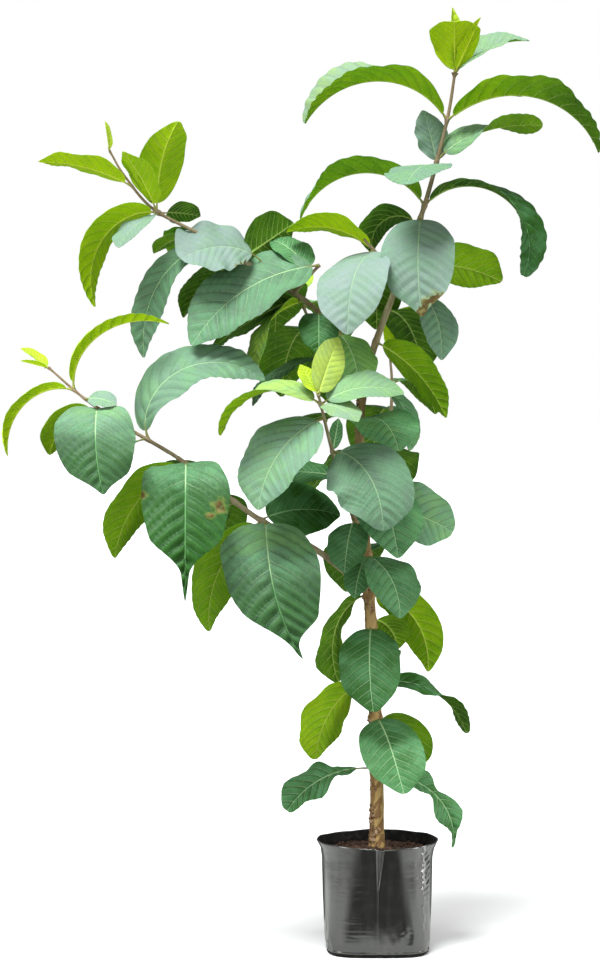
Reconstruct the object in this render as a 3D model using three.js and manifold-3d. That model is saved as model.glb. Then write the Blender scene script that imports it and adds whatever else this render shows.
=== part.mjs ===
// Young guava tree in a soft black nursery grow bag, in millimetres, +Z up.
// The origin is the middle of the bag's flat underside. +X is the tree's right,
// and the long left shoot and the middle front shoot lean towards -Y.
import * as THREE from "three";
import { mergeVertices } from "three/addons/utils/BufferGeometryUtils.js";
import Module from "manifold-3d";

const wasm = await Module();
wasm.setup();

// ---- Driving sizes -----------------------------------------------------------

const CLEARANCE = 0.3;

const BAG = {
  height: 110,
  wall: 1.5,
  cornersAtFoot: 4.2, // superellipse exponent: 2 is round, more is squarer
  cornersAtMouth: 2,
  sides: 28,
  // height above the floor and half width of the outside, from foot to rim
  profile: [[0, 48.5], [3, 51.5], [12, 53], [55, 55], [92, 56], [101.7, 57.5], [110, 62]],
};
const SOIL_TOP = 101.7; // one of the profile's heights

const TRUNK_FOOT = 102;
const FLARE = { width: 1.6, height: 9 };

const PETIOLE_RADIUS = 1.5;
const BLADE_STATIONS = 5;
const BLADE_THICKNESS = 1 / 50; // of the blade's length, at its midrib
const AXIS_STEPS = 80;

// Each shoot: the places its middle passes through, and its radius at both ends.
const SHOOTS = {
  trunk: {
    points: [[0, 0, TRUNK_FOOT], [-1, 0, 205], [-5, 0, 305], [-12, 0, 405], [-18, 0, 515], [-12, 0, 575]],
    radius: [7.2, 4.2],
    sides: 10,
  },
  leader: {
    points: [
      [-12, 0, 575], [-2, 0, 607], [22, 3, 673], [45, 6, 738], [61, 7, 795], [71, 6, 837], [77, 4, 876],
    ],
    radius: [3.7, 1.4],
    sides: 8,
  },
  inner_left: {
    points: [[20, 2, 667], [-2, -14, 695], [-14, -20, 709]],
    radius: [2.2, 1.4],
    sides: 6,
  },
  upper_left: {
    points: [
      [-12, 0, 575], [-54, -6, 633], [-110, -14, 673], [-172, -22, 711],
      [-222, -26, 738], [-250, -28, 770], [-265, -28, 795],
    ],
    radius: [3.2, 1],
    sides: 8,
  },
  upper_side: {
    points: [[-84, -10, 655], [-70, -20, 671], [-58, -24, 683]],
    radius: [2, 1.4],
    sides: 6,
  },
  long_left: {
    points: [
      [-11, 0, 360], [-60, -16, 400], [-122, -36, 435], [-191, -54, 489],
      [-248, -64, 524], [-287, -66, 551], [-322, -64, 581],
    ],
    radius: [3.6, 1],
    sides: 8,
  },
  middle_front: {
    points: [[-15, 0, 410], [-32, -28, 455], [-46, -58, 500], [-55, -78, 535], [-60, -92, 555]],
    radius: [3, 1.2],
    sides: 8,
  },
  back_right: {
    points: [[-16, 0, 445], [2, 32, 473], [14, 68, 515], [18, 96, 565], [16, 108, 601]],
    radius: [2.8, 1.2],
    sides: 8,
  },
  back_left: {
    points: [[-14, 0, 553], [-34, 34, 577], [-58, 72, 611], [-76, 96, 653], [-84, 104, 681]],
    radius: [2.8, 1.2],
    sides: 8,
  },
};

// Where each bough ends, as a part of its shoot's length. The spray grows on from there.
const BOUGH_ENDS = {
  long_left: 0.3,
  upper_left: 0.27,
  middle_front: 0.4,
  back_right: 0.36,
  back_left: 0.34,
};

// The twig that grows from a spray's side.
const SIDE_TWIGS = { leader: "inner_left", upper_left: "upper_side" };

// Leaves, from each shoot's foot to its tip. at is the part of the shoot's length, aim the compass
// direction in degrees (0 is +X, 90 is +Y), rise the first slope, arch how far the leaf bends down by its
// tip, and bend makes that bending early (under 1) or late. sweep turns the aim along the leaf. stalk,
// long and wide are millimetres. fold lifts each half blade, roll and twist turn the blade about its
// midrib, tip makes the point blunt (0.4) or drawn out (0.8), and bow carries it to one side.
const LEAF_HABIT = { bend: 1, sweep: 0, stalk: 8, fold: 8, roll: 0, twist: 0, tip: 0.62, bow: 0 };

const LEAVES_OF = {
  trunk: [
    {
      at: 0.155, aim: -8, rise: 0, arch: 102, bend: 1.3, stalk: 18,
      long: 104, wide: 37, fold: 12, roll: 25, twist: 30, tip: 0.4,
    },
    {
      at: 0.165, aim: 184, rise: 8, arch: 66, stalk: 20,
      long: 85, wide: 44, fold: 12, roll: -15, twist: -60, tip: 0.32,
    },
    {
      at: 0.275, aim: -73, rise: -6, arch: 64, bend: 0.7,
      long: 94, wide: 62, roll: 10, tip: 0.5, bow: 0.06,
    },
    { at: 0.275, aim: 28, rise: -12, arch: 88, long: 68, wide: 54, roll: -45, tip: 0.45 },
    {
      at: 0.345, aim: -5, rise: 14, arch: 88, bend: 1.1, stalk: 16,
      long: 100, wide: 46, fold: 12, roll: 35, twist: -75, tip: 0.4,
    },
    {
      at: 0.355, aim: -168, rise: 4, arch: 90, bend: 0.6, stalk: 24,
      long: 84, wide: 72, roll: 50, tip: 0.5,
    },
    { at: 0.4, aim: 88, rise: 25, arch: 98, long: 96, wide: 56 },
    { at: 0.468, aim: -95, rise: -8, arch: 76, bend: 0.7, long: 98, wide: 61, tip: 0.5, bow: 0.06 },
    { at: 0.482, aim: 42, rise: -1, arch: 78, long: 46, wide: 38, roll: -30 },
    { at: 0.53, aim: 20, rise: 14, arch: 109, bend: 0.7, long: 107, wide: 46, fold: 10, roll: -48 },
    {
      at: 0.535, aim: 184, rise: 6, arch: 118, bend: 0.55,
      long: 98, wide: 44, fold: 10, roll: 18, twist: 42, tip: 0.45,
    },
    { at: 0.62, aim: -52, rise: -12, arch: 66, long: 82, wide: 66, bow: -0.08 },
    { at: 0.62, aim: -112, rise: -32, arch: 42, long: 46, wide: 30 },
    { at: 0.62, aim: 100, rise: 25, arch: 98, long: 118, wide: 64 },
    { at: 0.72, aim: 5, rise: 2, arch: 36, long: 88, wide: 66, fold: 10, roll: 62, tip: 0.4 },
    { at: 0.78, aim: -62, rise: -12, arch: 68, long: 104, wide: 72, roll: 8 },
    { at: 0.9, aim: -58, rise: 25, arch: 95, long: 76, wide: 70, roll: 10 },
    { at: 0.9, aim: 150, rise: 25, arch: 90, long: 112, wide: 62 },
    {
      at: 0.975, aim: 14, rise: 12, arch: 118, bend: 0.8,
      long: 86, wide: 42, fold: 10, roll: 10, twist: 50,
    },
  ],
  long_left: [
    { at: 0.325, aim: -88, rise: 20, arch: 110, bend: 0.42, long: 156, wide: 94, tip: 0.72, bow: 0.22 },
    { at: 0.335, aim: 180, rise: -32, arch: 65, long: 120, wide: 66, roll: 40 },
    { at: 0.34, aim: 14, rise: 25, arch: 45, long: 76, wide: 64, roll: 48 },
    { at: 0.42, aim: 165, rise: -25, arch: 40, long: 74, wide: 50, roll: 30 },
    { at: 0.46, aim: 95, rise: -10, arch: 70, long: 100, wide: 56 },
    { at: 0.58, aim: -88, rise: 28, arch: 120, bend: 0.42, long: 164, wide: 84, tip: 0.9 },
    { at: 0.58, aim: 180, rise: -22, arch: 62, long: 114, wide: 62, roll: 38 },
    { at: 0.6, aim: 85, rise: -5, arch: 80, long: 88, wide: 54 },
    { at: 0.69, aim: 0, rise: 118, arch: 157, bend: 0.75, stalk: 10, long: 160, wide: 66, roll: 38 },
    { at: 0.7, aim: -150, rise: -10, arch: 70, long: 60, wide: 36, fold: 12 },
    { at: 0.835, aim: 175, rise: -2, arch: 80, long: 64, wide: 48, roll: 34 },
    { at: 0.84, aim: -90, rise: 22, arch: 106, bend: 0.45, long: 106, wide: 78, fold: 6, bow: 0.1 },
    { at: 0.88, aim: -30, rise: 10, arch: 40, stalk: 4, long: 34, wide: 22, roll: 40 },
    { at: 0.915, aim: 4, rise: 105, arch: 122, bend: 0.75, long: 126, wide: 24, fold: 45 },
    { at: 0.915, aim: 186, rise: 22, arch: 120, bend: 0.8, long: 100, wide: 24, fold: 45 },
    { at: 1, aim: 170, rise: 34, arch: 0, stalk: 2, long: 32, wide: 19, fold: 30, roll: -20 },
    { at: 1, aim: 195, rise: 14, arch: 0, stalk: 2, long: 26, wide: 12, fold: 35 },
  ],
  upper_left: [
    { at: 0.15, aim: -60, rise: -20, arch: 70, long: 70, wide: 50, fold: 10 },
    { at: 0.23, aim: -90, rise: -12, arch: 66, long: 58, wide: 40 },
    { at: 0.28, aim: -160, rise: -8, arch: 85, sweep: 35, long: 92, wide: 50, fold: 10, roll: 20 },
    { at: 0.3, aim: 195, rise: -20, arch: 20, long: 98, wide: 58, roll: 25 },
    { at: 0.36, aim: 95, rise: 15, arch: 80, long: 104, wide: 60 },
    {
      at: 0.4, aim: -158, rise: 96, arch: 128, bend: 0.5, stalk: 32,
      long: 78, wide: 72, roll: -44, tip: 0.35,
    },
    { at: 0.48, aim: 150, rise: 0, arch: 70, long: 90, wide: 55, fold: 10 },
    { at: 0.5, aim: 40, rise: 30, arch: 0, long: 70, wide: 56, fold: 10, roll: -85 },
    {
      at: 0.58, aim: 180, rise: 10, arch: 106, bend: 0.6, sweep: 28,
      long: 142, wide: 42, fold: 10, roll: -38,
    },
    { at: 0.62, aim: 140, rise: 15, arch: 50, long: 66, wide: 40, fold: 10 },
    { at: 0.66, aim: 100, rise: 20, arch: 80, long: 88, wide: 48 },
    { at: 0.77, aim: 187, rise: 18, arch: 128, bend: 0.75, long: 128, wide: 46, fold: 12, roll: 35 },
    { at: 0.77, aim: -135, rise: -12, arch: 45, long: 58, wide: 40, tip: 0.45 },
    { at: 0.77, aim: 25, rise: 8, arch: 20, long: 36, wide: 32, roll: -35 },
    { at: 0.78, aim: -75, rise: 78, arch: 10, long: 82, wide: 46, fold: 14, tip: 0.5, bow: 0.2 },
    { at: 0.78, aim: -140, rise: 66, arch: 24, long: 62, wide: 44, fold: 10 },
    { at: 0.88, aim: 187, rise: 30, arch: 32, long: 88, wide: 42, fold: 18, roll: 18 },
    { at: 1, aim: 150, rise: 80, arch: 0, stalk: 2, long: 28, wide: 10, fold: 40 },
  ],
  upper_side: [
    { at: 0.7, aim: 140, rise: 55, arch: 40, long: 56, wide: 40, fold: 12, roll: -20 },
    { at: 1, aim: 192, rise: -5, arch: 54, long: 150, wide: 86, roll: -40, bow: 0.04 },
  ],
  middle_front: [
    { at: 0.15, aim: -105, rise: -24, arch: 56, long: 60, wide: 42 },
    { at: 0.45, aim: 172, rise: 12, arch: 20, long: 62, wide: 42, roll: -30 },
    { at: 0.62, aim: -44, rise: 6, arch: 98, bend: 0.8, long: 104, wide: 86, fold: 6, roll: 22, tip: 0.5 },
    { at: 0.62, aim: 60, rise: 70, arch: 0, stalk: 3, long: 32, wide: 14, fold: 20, roll: 30 },
    { at: 0.84, aim: -152, rise: -18, arch: 66, long: 112, wide: 82, roll: -22 },
    { at: 0.93, aim: 190, rise: 40, arch: 114, long: 114, wide: 50, fold: 12, roll: -40, twist: 80 },
    { at: 0.93, aim: 5, rise: 38, arch: 62, long: 78, wide: 48, fold: 12, roll: 35 },
    { at: 0.93, aim: -40, rise: 0, arch: 40, stalk: 4, long: 46, wide: 36, roll: 15 },
    { at: 1, aim: 60, rise: 58, arch: 8, stalk: 3, long: 66, wide: 34, fold: 10, roll: 58 },
    { at: 1, aim: 150, rise: 55, arch: 0, stalk: 3, long: 32, wide: 20, fold: 10, roll: -30 },
  ],
  back_right: [
    { at: 0.42, aim: 80, rise: 10, arch: 90, long: 84, wide: 56 },
    { at: 0.42, aim: 160, rise: 10, arch: 85, long: 104, wide: 62 },
    { at: 0.66, aim: 100, rise: 20, arch: 105, long: 125, wide: 68 },
    { at: 0.82, aim: 50, rise: 25, arch: 95, long: 84, wide: 52, fold: 10 },
    { at: 0.82, aim: 178, rise: 15, arch: 95, long: 84, wide: 50, fold: 10 },
    { at: 1, aim: 60, rise: 45, arch: 75, long: 88, wide: 42, fold: 14 },
    { at: 1, aim: -60, rise: 60, arch: 30, long: 58, wide: 32, fold: 18 },
  ],
  back_left: [
    { at: 0.4, aim: 85, rise: 10, arch: 85, long: 100, wide: 56 },
    { at: 0.4, aim: -160, rise: 5, arch: 70, long: 96, wide: 56 },
    { at: 0.64, aim: 110, rise: 15, arch: 100, long: 128, wide: 70 },
    { at: 0.8, aim: 62, rise: 25, arch: 90, long: 104, wide: 56, fold: 10 },
    { at: 0.8, aim: 185, rise: 20, arch: 70, long: 98, wide: 52, fold: 10 },
    { at: 1, aim: 120, rise: 45, arch: 75, long: 92, wide: 42, fold: 14 },
    { at: 1, aim: -80, rise: 5, arch: 50, long: 52, wide: 30, fold: 18 },
  ],
  leader: [
    { at: 0.11, aim: -20, rise: -25, arch: 42, long: 100, wide: 56, fold: 12, roll: -45 },
    { at: 0.22, aim: 60, rise: 0, arch: 80, long: 100, wide: 55, fold: 10 },
    { at: 0.3, aim: -25, rise: -8, arch: 84, sweep: -60, stalk: 22, long: 86, wide: 42 },
    { at: 0.36, aim: 12, rise: 14, arch: 42, long: 98, wide: 64, fold: 10, roll: -36, tip: 0.5 },
    { at: 0.505, aim: 158, rise: 50, arch: 158, long: 70, wide: 46, fold: 12, roll: 22 },
    { at: 0.52, aim: 86, rise: -18, arch: 58, bend: 0.8, stalk: 6, long: 104, wide: 64, fold: 6 },
    {
      at: 0.53, aim: -97, rise: -22, arch: 62, bend: 0.8, stalk: 6,
      long: 122, wide: 74, fold: 6, bow: 0.05,
    },
    {
      at: 0.57, aim: 175, rise: 62, arch: 133, bend: 0.95,
      long: 150, wide: 54, fold: 26, roll: 12, tip: 0.55,
    },
    {
      at: 0.57, aim: -5, rise: 52, arch: 168, bend: 0.92,
      long: 168, wide: 56, fold: 16, roll: -16, twist: 62, tip: 0.4,
    },
    { at: 0.695, aim: -112, rise: 6, arch: 44, long: 84, wide: 64, fold: 5, tip: 0.45 },
    { at: 0.71, aim: 168, rise: 80, arch: 10, stalk: 3, long: 52, wide: 40, fold: 12, roll: -45 },
    {
      at: 0.715, aim: -8, rise: 62, arch: 68, bend: 0.55, stalk: 12,
      long: 104, wide: 52, fold: 10, roll: 58, twist: -105,
    },
    {
      at: 0.85, aim: 172, rise: 62, arch: 122, bend: 0.95,
      long: 166, wide: 66, fold: 24, roll: 14, twist: -30, tip: 0.5,
    },
    {
      at: 0.85, aim: -8, rise: 39, arch: 110, bend: 1.1,
      long: 174, wide: 62, fold: 24, roll: -14, tip: 0.5,
    },
    { at: 1, aim: -95, rise: 84, arch: 30, stalk: 3, long: 49, wide: 52, fold: 15, tip: 0.14 },
    { at: 1, aim: 14, rise: 50, arch: 52, stalk: 5, long: 84, wide: 44, fold: 20, roll: 24 },
    { at: 1, aim: 120, rise: 86, arch: 0, stalk: 4, long: 62, wide: 18, fold: 45 },
    { at: 1, aim: -30, rise: 62, arch: 0, stalk: 4, long: 56, wide: 16, fold: 40 },
    { at: 1, aim: 88, rise: 80, arch: 50, stalk: 3, long: 50, wide: 30, fold: 14 },
  ],
  inner_left: [
    { at: 0.55, aim: 92, rise: -22, arch: 58, stalk: 6, long: 86, wide: 54 },
    { at: 0.7, aim: 176, rise: 48, arch: 70, long: 88, wide: 56, fold: 14, roll: 16 },
    { at: 0.75, aim: -122, rise: -18, arch: 65, sweep: 25, stalk: 6, long: 112, wide: 72, fold: 6 },
  ],
};

// ---- Materials ---------------------------------------------------------------

const film = new THREE.MeshStandardMaterial({ color: 0x161616, roughness: 0.35, metalness: 0 });
const earth = new THREE.MeshStandardMaterial({ color: 0x4a2416, roughness: 1, metalness: 0 });
const bark = new THREE.MeshStandardMaterial({ color: 0x9a7440, roughness: 0.85, metalness: 0 });
const matureLeaf = new THREE.MeshStandardMaterial({ color: 0x4d8a5a, roughness: 0.6, metalness: 0 });
const youngLeaf = new THREE.MeshStandardMaterial({ color: 0x93b52c, roughness: 0.6, metalness: 0 });

// ---- Solids ------------------------------------------------------------------

// A closed body from rings of points that follow one another, with flat ends.
// A last ring of one point makes a pointed end.
function loft(rings) {
  const positions = rings.flat().flatMap((point) => [point.x, point.y, point.z]);
  const starts = [];
  let count = 0;
  for (const ring of rings) {
    starts.push(count);
    count += ring.length;
  }
  const faces = [];
  for (let i = 0; i + 1 < rings.length; i += 1) {
    const sides = rings[i].length;
    for (let j = 0; j < sides; j += 1) {
      const k = (j + 1) % sides;
      if (rings[i + 1].length === 1) {
        faces.push([starts[i] + j, starts[i] + k, starts[i + 1]]);
      } else {
        faces.push([starts[i] + j, starts[i] + k, starts[i + 1] + k]);
        faces.push([starts[i] + j, starts[i + 1] + k, starts[i + 1] + j]);
      }
    }
  }
  for (let j = 1; j + 1 < rings[0].length; j += 1) faces.push([starts[0], starts[0] + j + 1, starts[0] + j]);
  const last = rings.length - 1;
  for (let j = 1; j + 1 < rings[last].length; j += 1) {
    faces.push([starts[last], starts[last] + j, starts[last] + j + 1]);
  }
  return outward(positions, faces);
}

// Turns the faces over where the body would be inside out.
function outward(positions, faces) {
  const corner = (i) => new THREE.Vector3(positions[3 * i], positions[3 * i + 1], positions[3 * i + 2]);
  let volume = 0;
  for (const [a, b, c] of faces) volume += corner(a).dot(corner(b).clone().cross(corner(c)));
  const turned = volume > 0 ? faces : faces.map(([a, b, c]) => [a, c, b]);
  const geometry = new THREE.BufferGeometry();
  geometry.setAttribute("position", new THREE.Float32BufferAttribute(positions, 3));
  geometry.setIndex(turned.flat());
  return geometry;
}

function toManifold(geometry) {
  const bare = geometry.clone();
  bare.deleteAttribute("normal");
  bare.deleteAttribute("uv");
  const merged = mergeVertices(bare, 1e-4);
  return new wasm.Manifold(new wasm.Mesh({
    numProp: 3,
    vertProperties: merged.attributes.position.array,
    triVerts: Uint32Array.from(merged.index.array),
  }));
}

function fromManifold(body) {
  const { vertProperties, triVerts } = body.getMesh();
  const geometry = new THREE.BufferGeometry();
  geometry.setAttribute("position", new THREE.BufferAttribute(vertProperties, 3));
  geometry.setIndex(new THREE.BufferAttribute(triVerts, 1));
  return geometry;
}

function fuse(geometries) {
  return geometries.map(toManifold).reduce((whole, piece) => whole.add(piece));
}

// ---- Limbs -------------------------------------------------------------------

const curves = {};
for (const [name, shoot] of Object.entries(SHOOTS)) {
  const points = shoot.points.map((point) => new THREE.Vector3(...point));
  curves[name] = new THREE.CatmullRomCurve3(points, false, "catmullrom", 0.5);
}

function shootRadius(name, at) {
  const [foot, tip] = SHOOTS[name].radius;
  const radius = foot + (tip - foot) * at;
  if (name !== "trunk") return radius;
  const height = at * curves.trunk.getLength();
  return radius + FLARE.width * Math.exp(-height / FLARE.height);
}

// The limb between two parts of a shoot's length, as a tube that tapers. extra makes it thicker.
function limb(name, from = 0, to = 1, extra = 0) {
  const curve = curves[name];
  const stepLength = name === "trunk" ? 40 : 28;
  const steps = Math.max(2, Math.round((curve.getLength() * (to - from)) / stepLength));
  const rings = [];
  for (let i = 0; i <= steps; i += 1) {
    let at = from + ((to - from) * i) / steps;
    // The root flare needs short steps at the trunk's foot.
    if (name === "trunk") at = to * (i / steps) ** 1.5;
    const middle = curve.getPointAt(at);
    // The cut at the trunk's foot is level.
    const along = name === "trunk" && i === 0 ? new THREE.Vector3(0, 0, 1) : curve.getTangentAt(at);
    const side = new THREE.Vector3(0, 1, 0).cross(along).normalize();
    const front = along.clone().cross(side);
    const radius = shootRadius(name, at) + extra;
    const ring = [];
    for (let j = 0; j < SHOOTS[name].sides; j += 1) {
      const angle = (2 * Math.PI * j) / SHOOTS[name].sides;
      ring.push(middle.clone()
        .addScaledVector(side, radius * Math.cos(angle))
        .addScaledVector(front, radius * Math.sin(angle)));
    }
    rings.push(ring);
  }
  return loft(rings);
}

// ---- Leaves ------------------------------------------------------------------

// Half of the blade's width at t, from its base (0) to its tip (1).
function halfWidth(t, wide, tip) {
  const base = 0.52;
  const widest = base / (base + tip);
  return 0.5 * wide * (t / widest) ** base * ((1 - t) / (1 - widest)) ** tip;
}

// One leaf: a stalk that starts in its shoot's middle, then a thin blade folded along its midrib.
// A leaf that is a part of its own starts just clear of its limb's side instead.
function leafSolid(name, row, apart = false) {
  const leaf = { ...LEAF_HABIT, ...row };
  const radians = THREE.MathUtils.degToRad;
  const total = leaf.stalk + leaf.long;
  const direction = (u) => {
    const rise = radians(leaf.rise - leaf.arch * u ** leaf.bend);
    const aim = radians(leaf.aim + leaf.sweep * u);
    return new THREE.Vector3(Math.cos(rise) * Math.cos(aim), Math.cos(rise) * Math.sin(aim), Math.sin(rise));
  };
  const levelSide = (u) => {
    const aim = radians(leaf.aim + leaf.sweep * u);
    return new THREE.Vector3(-Math.sin(aim), Math.cos(aim), 0);
  };
  const axis = [curves[name].getPointAt(leaf.at)];
  for (let i = 1; i <= AXIS_STEPS; i += 1) {
    const step = direction((i - 0.5) / AXIS_STEPS).multiplyScalar(total / AXIS_STEPS);
    axis.push(axis[i - 1].clone().add(step));
  }
  axis.forEach((point, i) => {
    const u = i / AXIS_STEPS;
    point.addScaledVector(levelSide(u), leaf.bow * leaf.long * u ** 3);
  });
  const place = (distance) => {
    const i = Math.min(AXIS_STEPS - 1, Math.floor((distance / total) * AXIS_STEPS));
    return axis[i].clone().lerp(axis[i + 1], (distance / total) * AXIS_STEPS - i);
  };
  const section = (distance, half, thickness, t) => {
    const u = distance / total;
    const along = direction(u);
    const level = levelSide(u);
    const above = along.clone().cross(level);
    const turn = radians(leaf.roll + leaf.twist * t);
    const side = level.clone().multiplyScalar(Math.cos(turn)).addScaledVector(above, Math.sin(turn));
    const top = above.clone().multiplyScalar(Math.cos(turn)).addScaledVector(level, -Math.sin(turn));
    const middle = place(distance);
    const fold = t > 0 ? radians(leaf.fold - 4) : 0;
    const lift = half * Math.sin(fold);
    const reach = half * Math.cos(fold);
    return [
      middle.clone().addScaledVector(side, reach).addScaledVector(top, lift),
      middle.clone().addScaledVector(top, thickness / 2),
      middle.clone().addScaledVector(side, -reach).addScaledVector(top, lift),
      middle.clone().addScaledVector(top, -thickness / 2),
    ];
  };
  let start = 0;
  if (apart) {
    const cosine = Math.abs(direction(0).dot(curves[name].getTangentAt(leaf.at)));
    const sine = Math.sqrt(1 - cosine ** 2);
    start = (shootRadius(name, leaf.at) + CLEARANCE + PETIOLE_RADIUS * cosine) / sine;
  }
  const thick = leaf.long * BLADE_THICKNESS;
  const rings = [];
  rings.push(section(start, PETIOLE_RADIUS, 2 * PETIOLE_RADIUS, 0));
  rings.push(section(Math.max(leaf.stalk, start + 2), PETIOLE_RADIUS, 2 * PETIOLE_RADIUS, 0));
  for (let i = 1; i <= BLADE_STATIONS; i += 1) {
    const t = (i - 0.5) / (BLADE_STATIONS + 0.2);
    rings.push(section(leaf.stalk + leaf.long * t, halfWidth(t, leaf.wide, leaf.tip), thick, t));
  }
  rings.push([place(total)]);
  return loft(rings);
}

// ---- The bag and its soil ----------------------------------------------------

// One ring of the bag: round at the mouth, nearer square at the foot.
function bagRing(height, half) {
  const share = height / BAG.height;
  const power = BAG.cornersAtFoot + (BAG.cornersAtMouth - BAG.cornersAtFoot) * Math.sqrt(share);
  const ring = [];
  for (let j = 0; j < BAG.sides; j += 1) {
    const angle = (2 * Math.PI * (j + 0.5)) / BAG.sides;
    const x = Math.abs(Math.cos(angle));
    const y = Math.abs(Math.sin(angle));
    const reach = half / (x ** power + y ** power) ** (1 / power);
    ring.push(new THREE.Vector3(reach * Math.cos(angle), reach * Math.sin(angle), height));
  }
  return ring;
}

function growBag() {
  const outside = BAG.profile.map(([height, half]) => bagRing(height, half));
  const inner = BAG.profile.filter(([height]) => height > BAG.wall).reverse();
  const inside = inner.map(([height, half]) => bagRing(height, half - BAG.wall));
  inside.push(bagRing(BAG.wall, BAG.profile[0][1] - BAG.wall));
  return loft([...outside, ...inside]);
}

function soilBlock() {
  const gap = BAG.wall + CLEARANCE;
  // From the top down, as the bag's inside is made, so that both have their edges in the same places.
  const inner = BAG.profile.filter(([height]) => height > gap && height <= SOIL_TOP).reverse();
  const rings = inner.map(([height, half]) => bagRing(height, half - gap));
  return loft([...rings, bagRing(gap, BAG.profile[0][1] - gap)]);
}

// ---- The tree ----------------------------------------------------------------

const tree = new THREE.Group();

function addPart(name, geometry, material) {
  const flat = geometry.toNonIndexed();
  flat.computeVertexNormals();
  const mesh = new THREE.Mesh(flat, material);
  mesh.name = name;
  tree.add(mesh);
}

// What keeps clear of a limb is cut by the limb made thicker by the clearance.
const trunkSleeve = toManifold(limb("trunk", 0, 1, CLEARANCE));
const leaderSleeve = toManifold(limb("leader", 0, 0.2, CLEARANCE));

addPart("grow_bag", growBag(), film);
addPart("soil", soilBlock(), earth);
addPart("trunk", limb("trunk", 0, 1 - CLEARANCE / curves.trunk.getLength()), bark);

for (const [name, end] of Object.entries(BOUGH_ENDS)) {
  const bough = toManifold(limb(name, 0, end)).subtract(trunkSleeve).subtract(leaderSleeve);
  addPart(`${name}_bough`, fromManifold(bough), bark);
}

// A spray: the rest of its shoot, its side twig, and their leaves, as one body.
function spray(name) {
  const start = name === "leader" ? 0 : BOUGH_ENDS[name];
  const gap = CLEARANCE / curves[name].getLength();
  const pieces = [limb(name, start + (name === "leader" ? 0 : gap))];
  for (const row of LEAVES_OF[name].filter(({ at }) => at > start)) pieces.push(leafSolid(name, row));
  const twig = SIDE_TWIGS[name];
  if (twig) {
    pieces.push(limb(twig));
    for (const row of LEAVES_OF[twig]) pieces.push(leafSolid(twig, row));
  }
  return fuse(pieces).subtract(trunkSleeve);
}

for (const name of Object.keys(BOUGH_ENDS)) addPart(`${name}_spray`, fromManifold(spray(name)), matureLeaf);
addPart("leader_spray", fromManifold(spray("leader")), youngLeaf);

// Leaves that stand on the trunk or on a bough, each a part of its own and clear of that limb.
function singleLeaves(name, rows) {
  rows.forEach((row, i) => {
    addPart(`${name}_leaf_${String(i + 1).padStart(2, "0")}`, leafSolid(name, row, true), matureLeaf);
  });
}

singleLeaves("trunk", LEAVES_OF.trunk);
for (const [name, end] of Object.entries(BOUGH_ENDS)) {
  singleLeaves(name, LEAVES_OF[name].filter(({ at }) => at < end));
}

export default tree;
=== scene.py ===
"""A young guava tree in a soft grow bag: limbs, leaves, bag, soil, stage, light and camera."""
import math

import bpy
import numpy as np
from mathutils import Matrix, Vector


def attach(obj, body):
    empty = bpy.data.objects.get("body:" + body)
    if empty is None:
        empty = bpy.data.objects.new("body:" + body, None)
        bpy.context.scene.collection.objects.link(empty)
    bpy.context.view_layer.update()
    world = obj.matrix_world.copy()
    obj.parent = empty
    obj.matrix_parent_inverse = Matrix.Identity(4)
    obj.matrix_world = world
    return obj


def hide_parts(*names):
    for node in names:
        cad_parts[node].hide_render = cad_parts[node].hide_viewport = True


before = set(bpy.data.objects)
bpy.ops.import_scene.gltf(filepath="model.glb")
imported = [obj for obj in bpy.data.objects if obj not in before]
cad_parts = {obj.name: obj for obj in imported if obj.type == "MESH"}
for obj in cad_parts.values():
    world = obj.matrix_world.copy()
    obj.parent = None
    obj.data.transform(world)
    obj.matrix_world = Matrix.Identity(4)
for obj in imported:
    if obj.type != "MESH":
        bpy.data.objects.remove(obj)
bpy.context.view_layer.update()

MM = 0.001

# ---- Sizes, in millimetres --------------------------------------------------------------------

BAG_HEIGHT = 110.0
# height, half width: at the sides, where the rim is drawn out to two points, and before and behind
BAG_PROFILE = [(0, 48.5), (3, 51.5), (12, 53), (55, 55), (92, 56), (101.7, 57.5), (110, 62)]
BAG_FRONT_PROFILE = [(0, 48.5), (3, 51.5), (12, 53), (55, 55.2), (80, 56.4), (95, 57.6), (110, 59.4)]
SIDE_SHARPNESS = 6
BAG_CORNERS = {"foot": 4.2, "mouth": 2.0}  # superellipse exponents: 2 is round, more is squarer
MOUTH_RADIUS = 59.0
FILM_THICK = 0.9
SHADED_HEM_HEIGHT = 3.2
BAG_TURNS, BAG_ROWS = 400, 132
FOOT_ROWS = [0.0, 0.7, 1.6, 2.8]
PLEAT = {"left": -3.4, "right": 4.2, "length": 44.0, "slope": 0.5}
SEAM_RIGHT = 45.0  # of the bag's middle
# Patches of level wrinkles in the film: right of the middle, height, half width, half height, depth.
LEVEL_WRINKLES = [(-25, 32, 13, 11, 0.3), (30, 25, 9, 3.5, 0.3), (-20, 66, 8, 12, 0.2)]
SOIL_TOP = 101.7
SOIL_GAP = 0.5
SOIL_TURNS, SOIL_ROWS = 160, 56
SOIL_SIDE_HEIGHTS = (88.0, 50.0, 14.0, 4.0)
SOIL_ROUGHNESS = [(8, 0.9, 14.0), (9, 0.6, 5.5), (10, 0.4, 2.6)]  # seed, height, reach of its clods

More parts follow.
